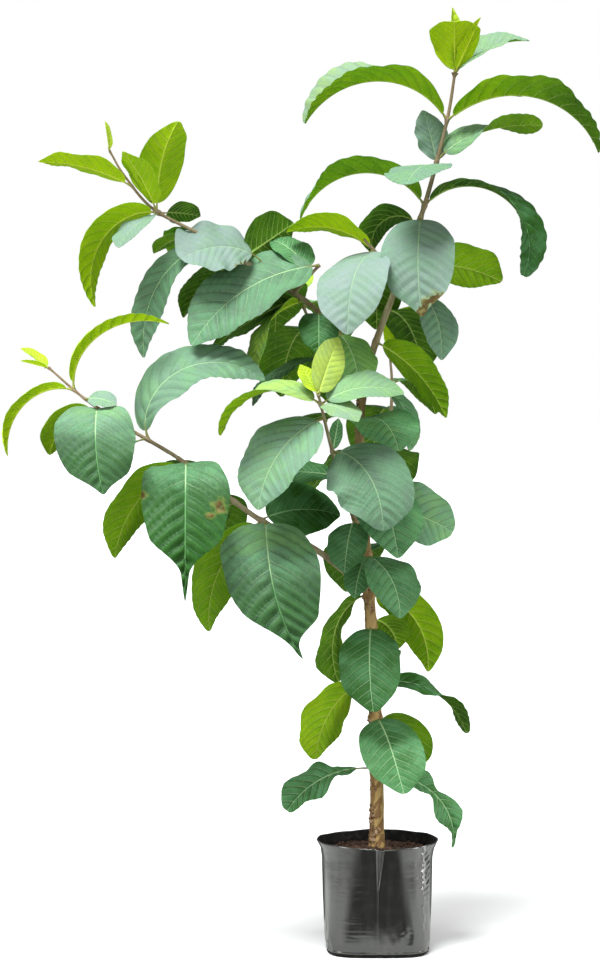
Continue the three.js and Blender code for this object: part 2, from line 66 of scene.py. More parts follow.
# Each shoot: the places that its middle passes through, and its radius at foot and tip.
SHOOTS = {
    "trunk": (
        [(0, 0, 102), (-1, 0, 205), (-5, 0, 305), (-12, 0, 405), (-18, 0, 515), (-12, 0, 575)],
        (7.2, 4.2),
    ),
    "leader": (
        [(-12, 0, 575), (-2, 0, 607), (22, 3, 673), (45, 6, 738), (61, 7, 795), (71, 6, 837), (77, 4, 876)],
        (3.7, 1.4),
    ),
    "inner_left": ([(20, 2, 667), (-2, -14, 695), (-14, -20, 709)], (2.2, 1.4)),
    "upper_left": (
        [
            (-12, 0, 575), (-54, -6, 633), (-110, -14, 673), (-172, -22, 711),
            (-222, -26, 738), (-250, -28, 770), (-265, -28, 795),
        ],
        (3.2, 1.0),
    ),
    "upper_side": ([(-84, -10, 655), (-70, -20, 671), (-58, -24, 683)], (2.0, 1.4)),
    "long_left": (
        [
            (-11, 0, 360), (-60, -16, 400), (-122, -36, 435), (-191, -54, 489),
            (-248, -64, 524), (-287, -66, 551), (-322, -64, 581),
        ],
        (3.6, 1.0),
    ),
    "middle_front": (
        [(-15, 0, 410), (-32, -28, 455), (-46, -58, 500), (-55, -78, 535), (-60, -92, 555)],
        (3.0, 1.2),
    ),
    "back_right": ([(-16, 0, 445), (2, 32, 473), (14, 68, 515), (18, 96, 565), (16, 108, 601)], (2.8, 1.2)),
    "back_left": (
        [(-14, 0, 553), (-34, 34, 577), (-58, 72, 611), (-76, 96, 653), (-84, 104, 681)],
        (2.8, 1.2),
    ),
}
FLARE = {"width": 1.6, "height": 9.0}

# Leaves, from each shoot's foot to its tip. at is the part of the shoot's length, aim the compass
# direction in degrees (0 is +X, 90 is +Y), rise the first slope, and arch how far the leaf bends down by
# its tip. bend makes that bending early (under 1) or late, and sweep turns the aim along the leaf. stalk,
# long and wide are millimetres. fold lifts each half blade, roll and twist turn the blade about its
# midrib, tip makes the point blunt (0.4) or drawn out (0.8), and bow carries it to one side. age runs
# from 0, new and yellow-green, to 1, old and dark; it is also set higher on leaves deep in the crown as
# painted shade, and lower on some leaves to paint out a cast shadow. bloom is a painted sheen: a pale grey
# reflection of the overhead light, painted on the top. quilt swells the blade between its veins, wave
# lifts and drops its margin, point draws out the tip from tail on, deepen darkens the blade towards its
# tip, curl lifts one half blade (side, from, degrees), waist narrows the blade (at, share), and harm lists
# brown places as (along, across, reach in millimetres).
LEAF_HABIT = dict(
    bend=1.0, sweep=0, stalk=8, fold=8, roll=0, twist=0, tip=0.62, bow=0, painted_sheen=0, wave=1, point=0.35,
    tail=0.78, deepen=0, curl=(1, 0.5, 0), waist=(0.5, 0), harm=(),
)

# Some ages below are painted shade: raised on leaves deep in the crown, lowered to paint out a cast shadow.
LEAVES = {
    "trunk": [
        dict(at=0.155, aim=-8, rise=0, arch=102, bend=1.3, stalk=18, long=104, wide=37, fold=12, roll=25,
             twist=30, tip=0.4, age=0.9, wave=2.8, quilt=1.5, point=0.8, tail=0.66, waist=(0.42, 0.6)),
        dict(at=0.165, aim=184, rise=8, arch=66, stalk=20, long=85, wide=44, fold=12, roll=-15,
             twist=-60, tip=0.32, age=0.85, wave=4.2, quilt=1.8, waist=(0.26, 0.5), curl=(1, 0.45, 40)),
        dict(at=0.275, aim=-73, rise=-6, arch=64, bend=0.7, long=94, wide=62, roll=10, tip=0.5, bow=0.06,
             age=0.85, quilt=0.9),
        dict(at=0.275, aim=28, rise=-12, arch=88, long=68, wide=54, roll=-45, tip=0.45, age=0.6),
        dict(at=0.345, aim=-5, rise=14, arch=88, bend=1.1, stalk=16, long=100, wide=46, fold=12, roll=35,
             twist=-75, tip=0.4, age=0.95, wave=1.8),
        dict(at=0.355, aim=-168, rise=4, arch=90, bend=0.6, stalk=24, long=84, wide=72, roll=50, tip=0.5,
             age=0.3, quilt=1.1),
        dict(at=0.4, aim=88, rise=25, arch=98, long=96, wide=56, age=0.9),
        dict(at=0.468, aim=-95, rise=-8, arch=76, bend=0.7, long=98, wide=61, tip=0.5, bow=0.06, age=0.9,
             quilt=1.2),
        dict(at=0.482, aim=42, rise=-1, arch=78, long=46, wide=38, roll=-30, age=0.6),
        dict(at=0.53, aim=20, rise=14, arch=109, bend=0.7, long=107, wide=46, fold=10, roll=-48,
             age=0.35),
        dict(at=0.535, aim=184, rise=6, arch=118, bend=0.55, long=98, wide=44, fold=10, roll=18,
             twist=42, tip=0.45, age=0.75, wave=2),
        dict(at=0.62, aim=-52, rise=-12, arch=66, long=82, wide=66, bow=-0.08, age=0.8),
        dict(at=0.62, aim=-112, rise=-32, arch=42, long=46, wide=30, age=0.8),
        dict(at=0.62, aim=100, rise=25, arch=98, long=118, wide=64, age=0.9),
        dict(at=0.72, aim=5, rise=2, arch=36, long=88, wide=66, fold=10, roll=62, tip=0.4, age=0.7,
             painted_sheen=0.2, wave=1.8),
        dict(at=0.78, aim=-62, rise=-12, arch=68, long=104, wide=72, roll=8, age=0.8),
        dict(at=0.9, aim=-58, rise=25, arch=95, long=76, wide=70, roll=10, age=0.74),
        dict(at=0.9, aim=150, rise=25, arch=90, long=112, wide=62, age=0.9),
        dict(at=0.975, aim=14, rise=12, arch=118, bend=0.8, long=86, wide=42, fold=10, roll=10, twist=50,
             age=0.74),
    ],
    "long_left": [
        dict(at=0.325, aim=-88, rise=20, arch=110, bend=0.42, long=156, wide=94, tip=0.72, bow=0.22,
             age=0.63, painted_sheen=0.22, quilt=2, point=0.8, tail=0.72, deepen=0.55),
        dict(at=0.335, aim=180, rise=-32, arch=65, long=120, wide=66, roll=40, age=0.5),
        dict(at=0.34, aim=14, rise=25, arch=45, long=76, wide=64, roll=48, age=0.95),
        dict(at=0.42, aim=165, rise=-25, arch=40, long=74, wide=50, roll=30, age=0.95),
        dict(at=0.46, aim=95, rise=-10, arch=70, long=100, wide=56, age=0.8),
        dict(at=0.58, aim=-88, rise=28, arch=120, bend=0.42, long=164, wide=84, tip=0.9, age=0.85,
             painted_sheen=0.1, quilt=2.1, wave=2.4, point=0.8, tail=0.62, deepen=0.9,
             harm=((0.42, 0.78, 10), (0.49, 0.62, 6), (0.36, -0.97, 7))),
        dict(at=0.58, aim=180, rise=-22, arch=62, long=114, wide=62, roll=38, age=0.4),
        dict(at=0.6, aim=85, rise=-5, arch=80, long=88, wide=54, age=0.8),
        dict(at=0.69, aim=0, rise=118, arch=157, bend=0.75, stalk=10, long=160, wide=66, roll=38,
             age=0.76, painted_sheen=0.35),
        dict(at=0.7, aim=-150, rise=-10, arch=70, long=60, wide=36, fold=12, age=0.8),
        dict(at=0.835, aim=175, rise=-2, arch=80, long=64, wide=48, roll=34, age=0.3),
        dict(at=0.84, aim=-90, rise=22, arch=106, bend=0.45, long=106, wide=78, fold=6, bow=0.1,
             age=0.68, painted_sheen=0.3, quilt=2, wave=2, deepen=0.6, point=0.6),
        dict(at=0.88, aim=-30, rise=10, arch=40, stalk=4, long=34, wide=22, roll=40, age=0.7, painted_sheen=0.6),
        dict(at=0.915, aim=4, rise=105, arch=122, bend=0.75, long=126, wide=24, fold=45, age=0.1),
        dict(at=0.915, aim=186, rise=22, arch=120, bend=0.8, long=100, wide=24, fold=45, age=0.1),
        dict(at=1, aim=170, rise=34, arch=0, stalk=2, long=32, wide=19, fold=30, roll=-20, age=0),
        dict(at=1, aim=195, rise=14, arch=0, stalk=2, long=26, wide=12, fold=35, age=0),
    ],
    "upper_left": [
        dict(at=0.15, aim=-60, rise=-20, arch=70, long=70, wide=50, fold=10, age=0.5),
        dict(at=0.23, aim=-90, rise=-12, arch=66, long=58, wide=40, age=0.95),
        dict(at=0.28, aim=-160, rise=-8, arch=85, sweep=35, long=92, wide=50, fold=10, roll=20, age=0.3),
        dict(at=0.3, aim=195, rise=-20, arch=20, long=98, wide=58, roll=25, age=0.9),
        dict(at=0.36, aim=95, rise=15, arch=80, long=104, wide=60, age=0.8),
        dict(at=0.4, aim=-158, rise=96, arch=128, bend=0.5, stalk=32, long=78, wide=72, roll=-44,
             tip=0.35, age=0.75, painted_sheen=0.8, wave=1.5,
             harm=((0.3, 0.97, 5), (0.2, 0.93, 5), (0.12, 0.9, 4))),
        dict(at=0.48, aim=150, rise=0, arch=70, long=90, wide=55, fold=10, age=0.8),
        dict(at=0.5, aim=40, rise=30, arch=0, long=70, wide=56, fold=10, roll=-85, age=0.85),
        dict(at=0.58, aim=180, rise=10, arch=106, bend=0.6, sweep=28, long=142, wide=42, fold=10,
             roll=-38, age=0.85, painted_sheen=0.25, quilt=1.4),
        dict(at=0.62, aim=140, rise=15, arch=50, long=66, wide=40, fold=10, age=0.6),
        dict(at=0.66, aim=100, rise=20, arch=80, long=88, wide=48, age=0.6),
        dict(at=0.77, aim=187, rise=18, arch=128, bend=0.75, long=128, wide=46, fold=12, roll=35,
             age=0.15),
        dict(at=0.77, aim=-135, rise=-12, arch=45, long=58, wide=40, tip=0.45, age=0.7, painted_sheen=0.7),
        dict(at=0.77, aim=25, rise=8, arch=20, long=36, wide=32, roll=-35, age=0.9),
        dict(at=0.78, aim=-75, rise=78, arch=10, long=82, wide=46, fold=14, tip=0.5, bow=0.2, age=0.2),
        dict(at=0.78, aim=-140, rise=66, arch=24, long=62, wide=44, fold=10, age=0.2),
        dict(at=0.88, aim=187, rise=30, arch=32, long=88, wide=42, fold=18, roll=18, age=0.1),
        dict(at=1, aim=150, rise=80, arch=0, stalk=2, long=28, wide=10, fold=40, age=0),
    ],
    "upper_side": [
        dict(at=0.7, aim=140, rise=55, arch=40, long=56, wide=40, fold=12, roll=-20, age=0.8),
        dict(at=1, aim=192, rise=-5, arch=54, long=150, wide=86, roll=-40, bow=0.04, age=0.85,
             painted_sheen=0.25, quilt=1.1, wave=1.4),
    ],
    "middle_front": [
        dict(at=0.15, aim=-105, rise=-24, arch=56, long=60, wide=42, age=0.8),
        dict(at=0.45, aim=172, rise=12, arch=20, long=62, wide=42, roll=-30, age=0.86),
        dict(at=0.62, aim=-44, rise=6, arch=98, bend=0.8, long=104, wide=86, fold=6, roll=22, tip=0.5,
             age=0.85, painted_sheen=0.35, wave=2.2, quilt=1.3),
        dict(at=0.62, aim=60, rise=70, arch=0, stalk=3, long=32, wide=14, fold=20, roll=30, age=0.8),
        dict(at=0.84, aim=-152, rise=-18, arch=66, long=112, wide=82, roll=-22, age=0.72, painted_sheen=0.4,
             quilt=1.4),
        dict(at=0.93, aim=190, rise=40, arch=114, long=114, wide=50, fold=12, roll=-40, twist=80,
             age=0.25, painted_sheen=0.3),
        dict(at=0.93, aim=5, rise=38, arch=62, long=78, wide=48, fold=12, roll=35, age=0.55, painted_sheen=0.4),
        dict(at=0.93, aim=-40, rise=0, arch=40, stalk=4, long=46, wide=36, roll=15, age=0.4, painted_sheen=0.6),
        dict(at=1, aim=60, rise=58, arch=8, stalk=3, long=66, wide=34, fold=10, roll=58, age=0,
             painted_sheen=0.3),
        dict(at=1, aim=150, rise=55, arch=0, stalk=3, long=32, wide=20, fold=10, roll=-30, age=0),
    ],
    "back_right": [
        dict(at=0.42, aim=80, rise=10, arch=90, long=84, wide=56, age=0.9),
        dict(at=0.42, aim=160, rise=10, arch=85, long=104, wide=62, age=0.9),
        dict(at=0.66, aim=100, rise=20, arch=105, long=125, wide=68, age=0.8),
        dict(at=0.82, aim=50, rise=25, arch=95, long=84, wide=52, fold=10, age=0.6),
        dict(at=0.82, aim=178, rise=15, arch=95, long=84, wide=50, fold=10, age=0.6),
        dict(at=1, aim=60, rise=45, arch=75, long=88, wide=42, fold=14, age=0.2),
        dict(at=1, aim=-60, rise=60, arch=30, long=58, wide=32, fold=18, age=0.1),
    ],
    "back_left": [
        dict(at=0.4, aim=85, rise=10, arch=85, long=100, wide=56, age=0.9),
        dict(at=0.4, aim=-160, rise=5, arch=70, long=96, wide=56, age=0.9),
        dict(at=0.64, aim=110, rise=15, arch=100, long=128, wide=70, age=0.8),
        dict(at=0.8, aim=62, rise=25, arch=90, long=104, wide=56, fold=10, age=0.6),
        dict(at=0.8, aim=185, rise=20, arch=70, long=98, wide=52, fold=10, age=0.6),
        dict(at=1, aim=120, rise=45, arch=75, long=92, wide=42, fold=14, age=0.2),
        dict(at=1, aim=-80, rise=5, arch=50, long=52, wide=30, fold=18, age=0.1),
    ],
    "leader": [
        dict(at=0.11, aim=-20, rise=-25, arch=42, long=100, wide=56, fold=12, roll=-45, age=0.4),
        dict(at=0.22, aim=60, rise=0, arch=80, long=100, wide=55, fold=10, age=0.9),
        dict(at=0.3, aim=-25, rise=-8, arch=84, sweep=-60, stalk=22, long=86, wide=42, age=0.8,
             painted_sheen=0.35),
        dict(at=0.36, aim=12, rise=14, arch=42, long=98, wide=64, fold=10, roll=-36, tip=0.5, age=0.4),
        dict(at=0.505, aim=158, rise=50, arch=158, long=70, wide=46, fold=12, roll=22, age=0.9),
        dict(at=0.52, aim=86, rise=-18, arch=58, bend=0.8, stalk=6, long=104, wide=64, fold=6, age=0.85),
        dict(at=0.53, aim=-97, rise=-22, arch=62, bend=0.8, stalk=6, long=122, wide=74, fold=6, bow=0.05,
             age=0.8, painted_sheen=0.6, harm=((0.86, 0.7, 12), (0.95, 0.3, 10)), point=0.6),
        dict(at=0.57, aim=175, rise=62, arch=133, bend=0.95, long=150, wide=54, fold=26, roll=12,
             tip=0.55, age=0.6, painted_sheen=0.6, point=0.7, tail=0.6, curl=(-1, 0.5, 50)),
        dict(at=0.57, aim=-5, rise=52, arch=168, bend=0.92, long=168, wide=56, fold=16, roll=-16,
             twist=62, tip=0.4, age=0.97, quilt=1.2),
        dict(at=0.695, aim=-112, rise=6, arch=44, long=84, wide=64, fold=5, tip=0.45, age=0.72,
             painted_sheen=0.4),
        dict(at=0.71, aim=168, rise=80, arch=10, stalk=3, long=52, wide=40, fold=12, roll=-45, age=0.75,
             painted_sheen=0.6),
        dict(at=0.715, aim=-8, rise=62, arch=68, bend=0.55, stalk=12, long=104, wide=52, fold=10,
             roll=58, twist=-105, age=0.6, painted_sheen=0.3, point=0),
        dict(at=0.85, aim=172, rise=62, arch=122, bend=0.95, long=166, wide=66, fold=24, roll=14,
             twist=-30, tip=0.5, age=0.34, painted_sheen=0.6, quilt=1.25, curl=(-1, 0.32, 32)),
        dict(at=0.85, aim=-8, rise=39, arch=110, bend=1.1, long=174, wide=62, fold=24, roll=-14, tip=0.5,
             age=0.3, deepen=0.5, quilt=1.2),
        dict(at=1, aim=-95, rise=84, arch=30, stalk=3, long=49, wide=52, fold=15, tip=0.14, age=0.05),
        dict(at=1, aim=14, rise=50, arch=52, stalk=5, long=84, wide=44, fold=20, roll=24, age=0.5,
             painted_sheen=0.55),
        dict(at=1, aim=120, rise=86, arch=0, stalk=4, long=62, wide=18, fold=45, age=0),
        dict(at=1, aim=-30, rise=62, arch=0, stalk=4, long=56, wide=16, fold=40, age=0),
        dict(at=1, aim=88, rise=80, arch=50, stalk=3, long=50, wide=30, fold=14, age=0.1),
    ],
    "inner_left": [
        dict(at=0.55, aim=92, rise=-22, arch=58, stalk=6, long=86, wide=54, age=0.8),
        dict(at=0.7, aim=176, rise=48, arch=70, long=88, wide=56, fold=14, roll=16, age=0.05),
        dict(at=0.75, aim=-122, rise=-18, arch=65, sweep=25, stalk=6, long=112, wide=72, fold=6,
             age=0.75, painted_sheen=0.85),
    ],
}

# ---- Node trees -------------------------------------------------------------------------------


def make_tree(kind, name, takes, gives):
    """A node tree with named sockets, each given as (name, kind, first value)."""
    tree = bpy.data.node_groups.new(name, kind)
    for side, sockets in (("INPUT", takes), ("OUTPUT", gives)):
        for title, socket_kind, *first in sockets:
            socket_type = "NodeSocket" + socket_kind
            socket = tree.interface.new_socket(name=title, in_out=side, socket_type=socket_type)
            if first:
                socket.default_value = first[0]
    return tree, tree.nodes.new("NodeGroupInput").outputs, tree.nodes.new("NodeGroupOutput").inputs


def geometry_tree(name, *takes):
    """A tree that takes a mesh with some named values, and gives a mesh."""
    mesh = ("Geometry", "Geometry")
    return make_tree("GeometryNodeTree", name, [mesh, *takes], [mesh])


def feed(tree, socket, value):
    if isinstance(value, bpy.types.NodeSocket):
        tree.links.new(value, socket)
    else:
        socket.default_value = value


def put(tree, kind, inputs=None, **settings):
    """A new node. An input's value is a constant, or the socket that feeds it."""
    node = tree.nodes.new(kind)
    for key, value in settings.items():
        setattr(node, key, value)
    for key, value in (inputs or {}).items():
        feed(tree, node.inputs[key], value)
    return node


def made(tree, kind, inputs=None, **settings):
    """What a new node gives first."""
    return put(tree, kind, inputs, **settings).outputs[0]


def math_node(tree, operation, *values):
    return made(tree, "ShaderNodeMath", dict(enumerate(values)), operation=operation)


def joined(operation):
    """A function that joins any number of values by one operation, from the first on."""

    def join(tree, value, *others):
        for other in others:
            value = math_node(tree, operation, value, other)
        return value

    return join


product, added, largest = joined("MULTIPLY"), joined("ADD"), joined("MAXIMUM")


def parts(tree, vector):
    """A vector's X, Y and Z."""
    return put(tree, "ShaderNodeSeparateXYZ", {0: vector}).outputs


def scaled(tree, vector, size):
    return made(tree, "ShaderNodeVectorMath", {"Vector": vector, "Scale": size}, operation="SCALE")


def noise(tree, place, scale, detail):
    return made(tree, "ShaderNodeTexNoise", {"Vector": place, "Scale": scale, "Detail": detail})


def spread(tree, value, low, high, to_low=0.0, to_high=1.0, smooth=True):
    """The value from low to high, carried to to_low to to_high and held at both ends."""
    ends = {1: low, 2: high, 3: to_low, 4: to_high}
    kind = "SMOOTHSTEP" if smooth else "LINEAR"
    return made(tree, "ShaderNodeMapRange", {0: value, **ends}, interpolation_type=kind)


def mix_colour(tree, factor, first, second):
    ends = {0: factor, 6: first, 7: second}
    return put(tree, "ShaderNodeMix", ends, data_type="RGBA").outputs[2]


# ---- Shader groups ----------------------------------------------------------------------------

VECTOR, NUMBER = 1, 2


def carried(tree, name, kind):
    """What each point of the mesh carries under a name, for a material."""
    return put(tree, "ShaderNodeAttribute", attribute_name=name).outputs[kind]


def mottle_group():
    """Soft irregular patches, as a mask."""
    takes = [("Vector", "Vector"), *((name, "Float") for name in ("Scale", "Detail", "Low", "High"))]
    tree, take, give = make_tree("ShaderNodeTree", "mottle", takes, [("Mask", "Float")])
    cloud = noise(tree, take["Vector"], take["Scale"], take["Detail"])
    feed(tree, give["Mask"], spread(tree, cloud, take["Low"], take["High"]))
    return tree


def vein_group():
    """The leaf's midrib, side veins and fine net, read from where a point lies on its blade."""
    tree, take, give = make_tree(
        "ShaderNodeTree",
        "leaf_veins",
        [("Midrib Width", "Float", 1.0), ("Vein Width", "Float", 0.45), ("Net Scale", "Float", 0.35)],
        [(name, "Float") for name in ("Midrib", "Veins", "Net", "Relief", "Hollow")],
    )
    phase, across, share = parts(tree, carried(tree, "leaf_place", VECTOR))
    along, spacing, puckered = parts(tree, carried(tree, "leaf_span", VECTOR))
    # Midrib: its width fades towards the tip.
    width = product(tree, take["Midrib Width"], spread(tree, along, 0.0, 1.0, 1.0, 0.25, smooth=False))
    off_rib = math_node(tree, "DIVIDE", math_node(tree, "ABSOLUTE", across), width)
    midrib = spread(tree, off_rib, 0.55, 1.25, 1.0, 0.0)
    # Side veins: the distance to the nearest whole phase, as a part of a vein's width.
    past = math_node(tree, "SUBTRACT", phase, math_node(tree, "ROUND", phase))
    distance = product(tree, math_node(tree, "ABSOLUTE", past), spacing)
    width = product(tree, take["Vein Width"], spread(tree, share, 0.1, 1.0, 1.0, 0.35, smooth=False))
    veins = spread(tree, math_node(tree, "DIVIDE", distance, width), 0.4, 1.6, 1.0, 0.0)
    veins = product(tree, veins, spread(tree, share, 0.8, 1.0, 1.0, 0.0))
    # Net: small cells between the side veins.
    cell_place = made(tree, "ShaderNodeCombineXYZ", {0: product(tree, phase, spacing), 1: across})
    sizes = {"Vector": cell_place, "Scale": take["Net Scale"]}
    cells = made(tree, "ShaderNodeTexVoronoi", sizes, feature="DISTANCE_TO_EDGE")
    net = spread(tree, cells, 0.02, 0.16, 1.0, 0.0)
    relief = largest(tree, midrib, product(tree, veins, 0.7), product(tree, net, 0.1))
    # Hollow: a mask of the sunk strip on the tip's side of each vein, where the blade is puckered, for
    # painted shade.
    behind = math_node(tree, "FRACT", phase)
    sunk = largest(tree, spread(tree, behind, 0.0, 0.4, 1.0, 0.0), spread(tree, behind, 0.9, 1.0))
    hollow_shade = product(tree, sunk, puckered)
    for socket, value in zip(give, (midrib, veins, net, relief, hollow_shade)):
        feed(tree, socket, value)
    return tree


MOTTLE = mottle_group()
VEINS = vein_group()


def mottle(tree, place, scale, low, high, detail=3.0):
    """A mask of soft irregular patches, from the group of that name."""
    values = {"Vector": place, "Scale": scale, "Detail": detail, "Low": low, "High": high}
    return made(tree, "ShaderNodeGroup", values, node_tree=MOTTLE)


def new_material(name, **constants):
    """A material with a Principled shader, whose constants sit on its own sockets."""
    material = bpy.data.materials.new(name)
    material.use_nodes = True
    tree = material.node_tree
    paint(tree, **constants)
    return material, tree


def paint(tree, **values):
    """Sets or feeds the sockets of a material's shader, with _ in a name for a blank."""
    shader = tree.nodes["Principled BSDF"]
    for key, value in values.items():
        feed(tree, shader.inputs[key.replace("_", " ")], value)


def object_place(tree, stretch=(1, 1, 1), turned=(0, 0, 0)):
    here = put(tree, "ShaderNodeTexCoord").outputs["Object"]
    longer = tuple(1 / s for s in stretch)
    return made(tree, "ShaderNodeMapping", {0: here, 2: turned, 3: longer}, vector_type="TEXTURE")


def bump(tree, height, distance, strength=1.0):
    return made(tree, "ShaderNodeBump", {"Strength": strength, "Distance": distance, "Height": height})


def ramp(tree, value, stops):
    node = put(tree, "ShaderNodeValToRGB", {0: value})
    band = node.color_ramp
    while len(band.elements) < len(stops):
        band.elements.new(0.5)
    for element, (place, colour) in zip(band.elements, stops):
        element.position = place
        element.color = (*colour, 1)
    return node.outputs[0]


# ---- Materials --------------------------------------------------------------------------------

# A leaf's two sides. blade and veins are colours from new to old. hollow and hollow_shade_colour give
# painted shade in the sunk strip behind each vein. net and side_veins say how strongly each is drawn,
# midrib and vein how wide, and relief which way they stand out.
LEAF_SIDES = {
    "leaf_top": dict(
        blade=[
            (0.0, (0.48, 0.66, 0.03)), (0.4, (0.20, 0.43, 0.09)),
            (0.75, (0.095, 0.27, 0.11)), (1.0, (0.022, 0.10, 0.010)),
        ],
        veins=[
            (0.0, (0.60, 0.72, 0.12)), (0.5, (0.48, 0.68, 0.34)),
            (0.88, (0.42, 0.64, 0.34)), (1.0, (0.15, 0.36, 0.13)),
        ],
        gloss=0.12, midrib=1.0, vein=0.36, hollow_shade=0.4, hollow_shade_colour=(0.012, 0.055, 0.012, 1),
        net=0.06, side_veins=0.56, rough=(0.42, 0.54), relief=-1.0,
    ),
    "leaf_underside": dict(
        blade=[
            (0.0, (0.43, 0.66, 0.004)), (0.4, (0.20, 0.43, 0.005)),
            (0.75, (0.088, 0.23, 0.008)), (1.0, (0.030, 0.10, 0.010)),
        ],
        veins=[(0.0, (0.66, 0.78, 0.06)), (0.5, (0.52, 0.68, 0.14)), (1.0, (0.36, 0.52, 0.15))],
        gloss=0.05, midrib=1.3, vein=0.42, hollow_shade=0.42, hollow_shade_colour=(0.05, 0.14, 0.004, 1),
        net=0.12, side_veins=0.72, rough=(0.5, 0.62), relief=1.0,
    ),
}
MIDRIB_STRENGTH = 0.85
GRAIN_COLOUR = (0.02, 0.05, 0.015, 1)
# The colour of the painted sheen: a pale grey reflection of the overhead light on leaf tops.
PAINTED_SHEEN = (0.27, 0.335, 0.335, 1)
SCORCH = [(0.0, (0.03, 0.02, 0.008)), (0.5, (0.10, 0.068, 0.022)), (1.0, (0.22, 0.20, 0.07))]
YELLOWED = (0.24, 0.27, 0.05, 1)
STALK_AGES = [(0.0, (0.33, 0.38, 0.05)), (0.5, (0.27, 0.30, 0.06)), (1.0, (0.20, 0.20, 0.06))]
BARK_AGES = [
    (0.0, (0.68, 0.46, 0.15)), (0.22, (0.50, 0.32, 0.11)), (0.5, (0.24, 0.17, 0.08)),
    (0.72, (0.33, 0.33, 0.19)), (1.0, (0.27, 0.18, 0.12)),
]
STREAK, RUSSET, PALE_GRAIN = (0.15, 0.085, 0.035, 1), (0.20, 0.085, 0.022, 1), (0.5, 0.4, 0.24, 1)
FLAKE_TONES = [(0.0, (0.08, 0.035, 0.016)), (0.45, (0.24, 0.125, 0.055)), (1.0, (0.52, 0.38, 0.24))]
FILM_BLACK, FILM_DUST, SEALED_GREY = (0.012, 0.012, 0.011, 1), (0.11, 0.085, 0.06, 1), (0.42, 0.42, 0.40, 1)
# Painted shade: a darker black for the film inside the bag and on the hem that it stands on.
SHADE_BLACK, MATTE_DUST = (0.006, 0.006, 0.006, 1), (0.035, 0.028, 0.022, 1)
MOIST = [(0.0, (0.035, 0.018, 0.012)), (0.5, (0.075, 0.040, 0.026)), (1.0, (0.13, 0.075, 0.052))]
DRIER = [(0.0, (0.050, 0.026, 0.018)), (0.5, (0.12, 0.065, 0.044)), (1.0, (0.23, 0.145, 0.11))]
GRIT_COLOUR = (0.22, 0.14, 0.10, 1)


def leaf_material(name):
    side = LEAF_SIDES[name]
    material, tree = new_material(
        name,
        Specular_IOR_Level=side["gloss"],
        Subsurface_Weight=0.07,
        Subsurface_Radius=(0.6, 1.0, 0.05),
        Subsurface_Scale=0.002,
    )
    age, painted_sheen, harm = parts(tree, carried(tree, "leaf_kind", VECTOR))
    here = object_place(tree)
    widths = {"Midrib Width": side["midrib"], "Vein Width": side["vein"]}
    veins = put(tree, "ShaderNodeGroup", widths, node_tree=VEINS).outputs
    broad = mottle(tree, here, 45.0, 0.35, 0.68)
    fine = mottle(tree, here, 420.0, 0.35, 0.65, detail=2.0)
    patchy = product(tree, math_node(tree, "SUBTRACT", broad, 0.5), 0.16)
    blade = ramp(tree, added(tree, age, patchy), side["blade"])
    blade = mix_colour(tree, product(tree, fine, 0.1), blade, GRAIN_COLOUR)
    # Painted shade: the blade darkens in the sunk strip behind each vein.
    blade = mix_colour(tree, product(tree, veins["Hollow"], side["hollow_shade"]), blade, side["hollow_shade_colour"])
    if name == "leaf_top":
        # Painted sheen: a pale grey reflection of the overhead light, painted on the top.
        veil = product(tree, painted_sheen, spread(tree, broad, 0, 1, 0.75, 1.0))
        blade = mix_colour(tree, veil, blade, PAINTED_SHEEN)
    # The veins show less under the painted sheen.
    plain = spread(tree, painted_sheen, 0.0, 1.0, 1.0, 0.35, smooth=False)
    drawn = largest(
        tree,
        product(tree, veins["Net"], side["net"]),
        product(tree, veins["Veins"], plain, side["side_veins"]),
        product(tree, veins["Midrib"], plain, MIDRIB_STRENGTH),
    )
    colour = mix_colour(tree, drawn, blade, ramp(tree, age, side["veins"]))
    # Brown places: a scorched middle with a ragged edge.
    ragged = mottle(tree, here, 130.0, 0.2, 0.8, detail=5.0)
    dying = added(tree, product(tree, harm, 0.75), product(tree, ragged, 0.6))
    burnt = spread(tree, dying, 0.8, 0.9)
    colour = mix_colour(tree, spread(tree, dying, 0.55, 0.85, 0.0, 0.4), colour, YELLOWED)
    colour = mix_colour(tree, burnt, colour, ramp(tree, ragged, SCORCH))
    satin = spread(tree, fine, 0, 1, *side["rough"])
    rough = added(tree, satin, product(tree, painted_sheen, 0.1), product(tree, burnt, 0.25))
    height = added(tree, product(tree, veins["Relief"], side["relief"]), product(tree, fine, 0.12))
    paint(tree, Base_Color=colour, Roughness=rough, Normal=bump(tree, height, 0.0005, 0.6))
    return material


def stalk_material():
    constants = dict(Roughness=0.55, Subsurface_Weight=0.1, Subsurface_Scale=0.002)
    material, tree = new_material("leaf_stalk", **constants)
    age = parts(tree, carried(tree, "leaf_kind", VECTOR))[0]
    freckle = product(tree, mottle(tree, object_place(tree), 600.0, 0.45, 0.7), 0.35)
    paint(tree, Base_Color=mix_colour(tree, freckle, ramp(tree, age, STALK_AGES), (0.16, 0.08, 0.03, 1)))
    return material


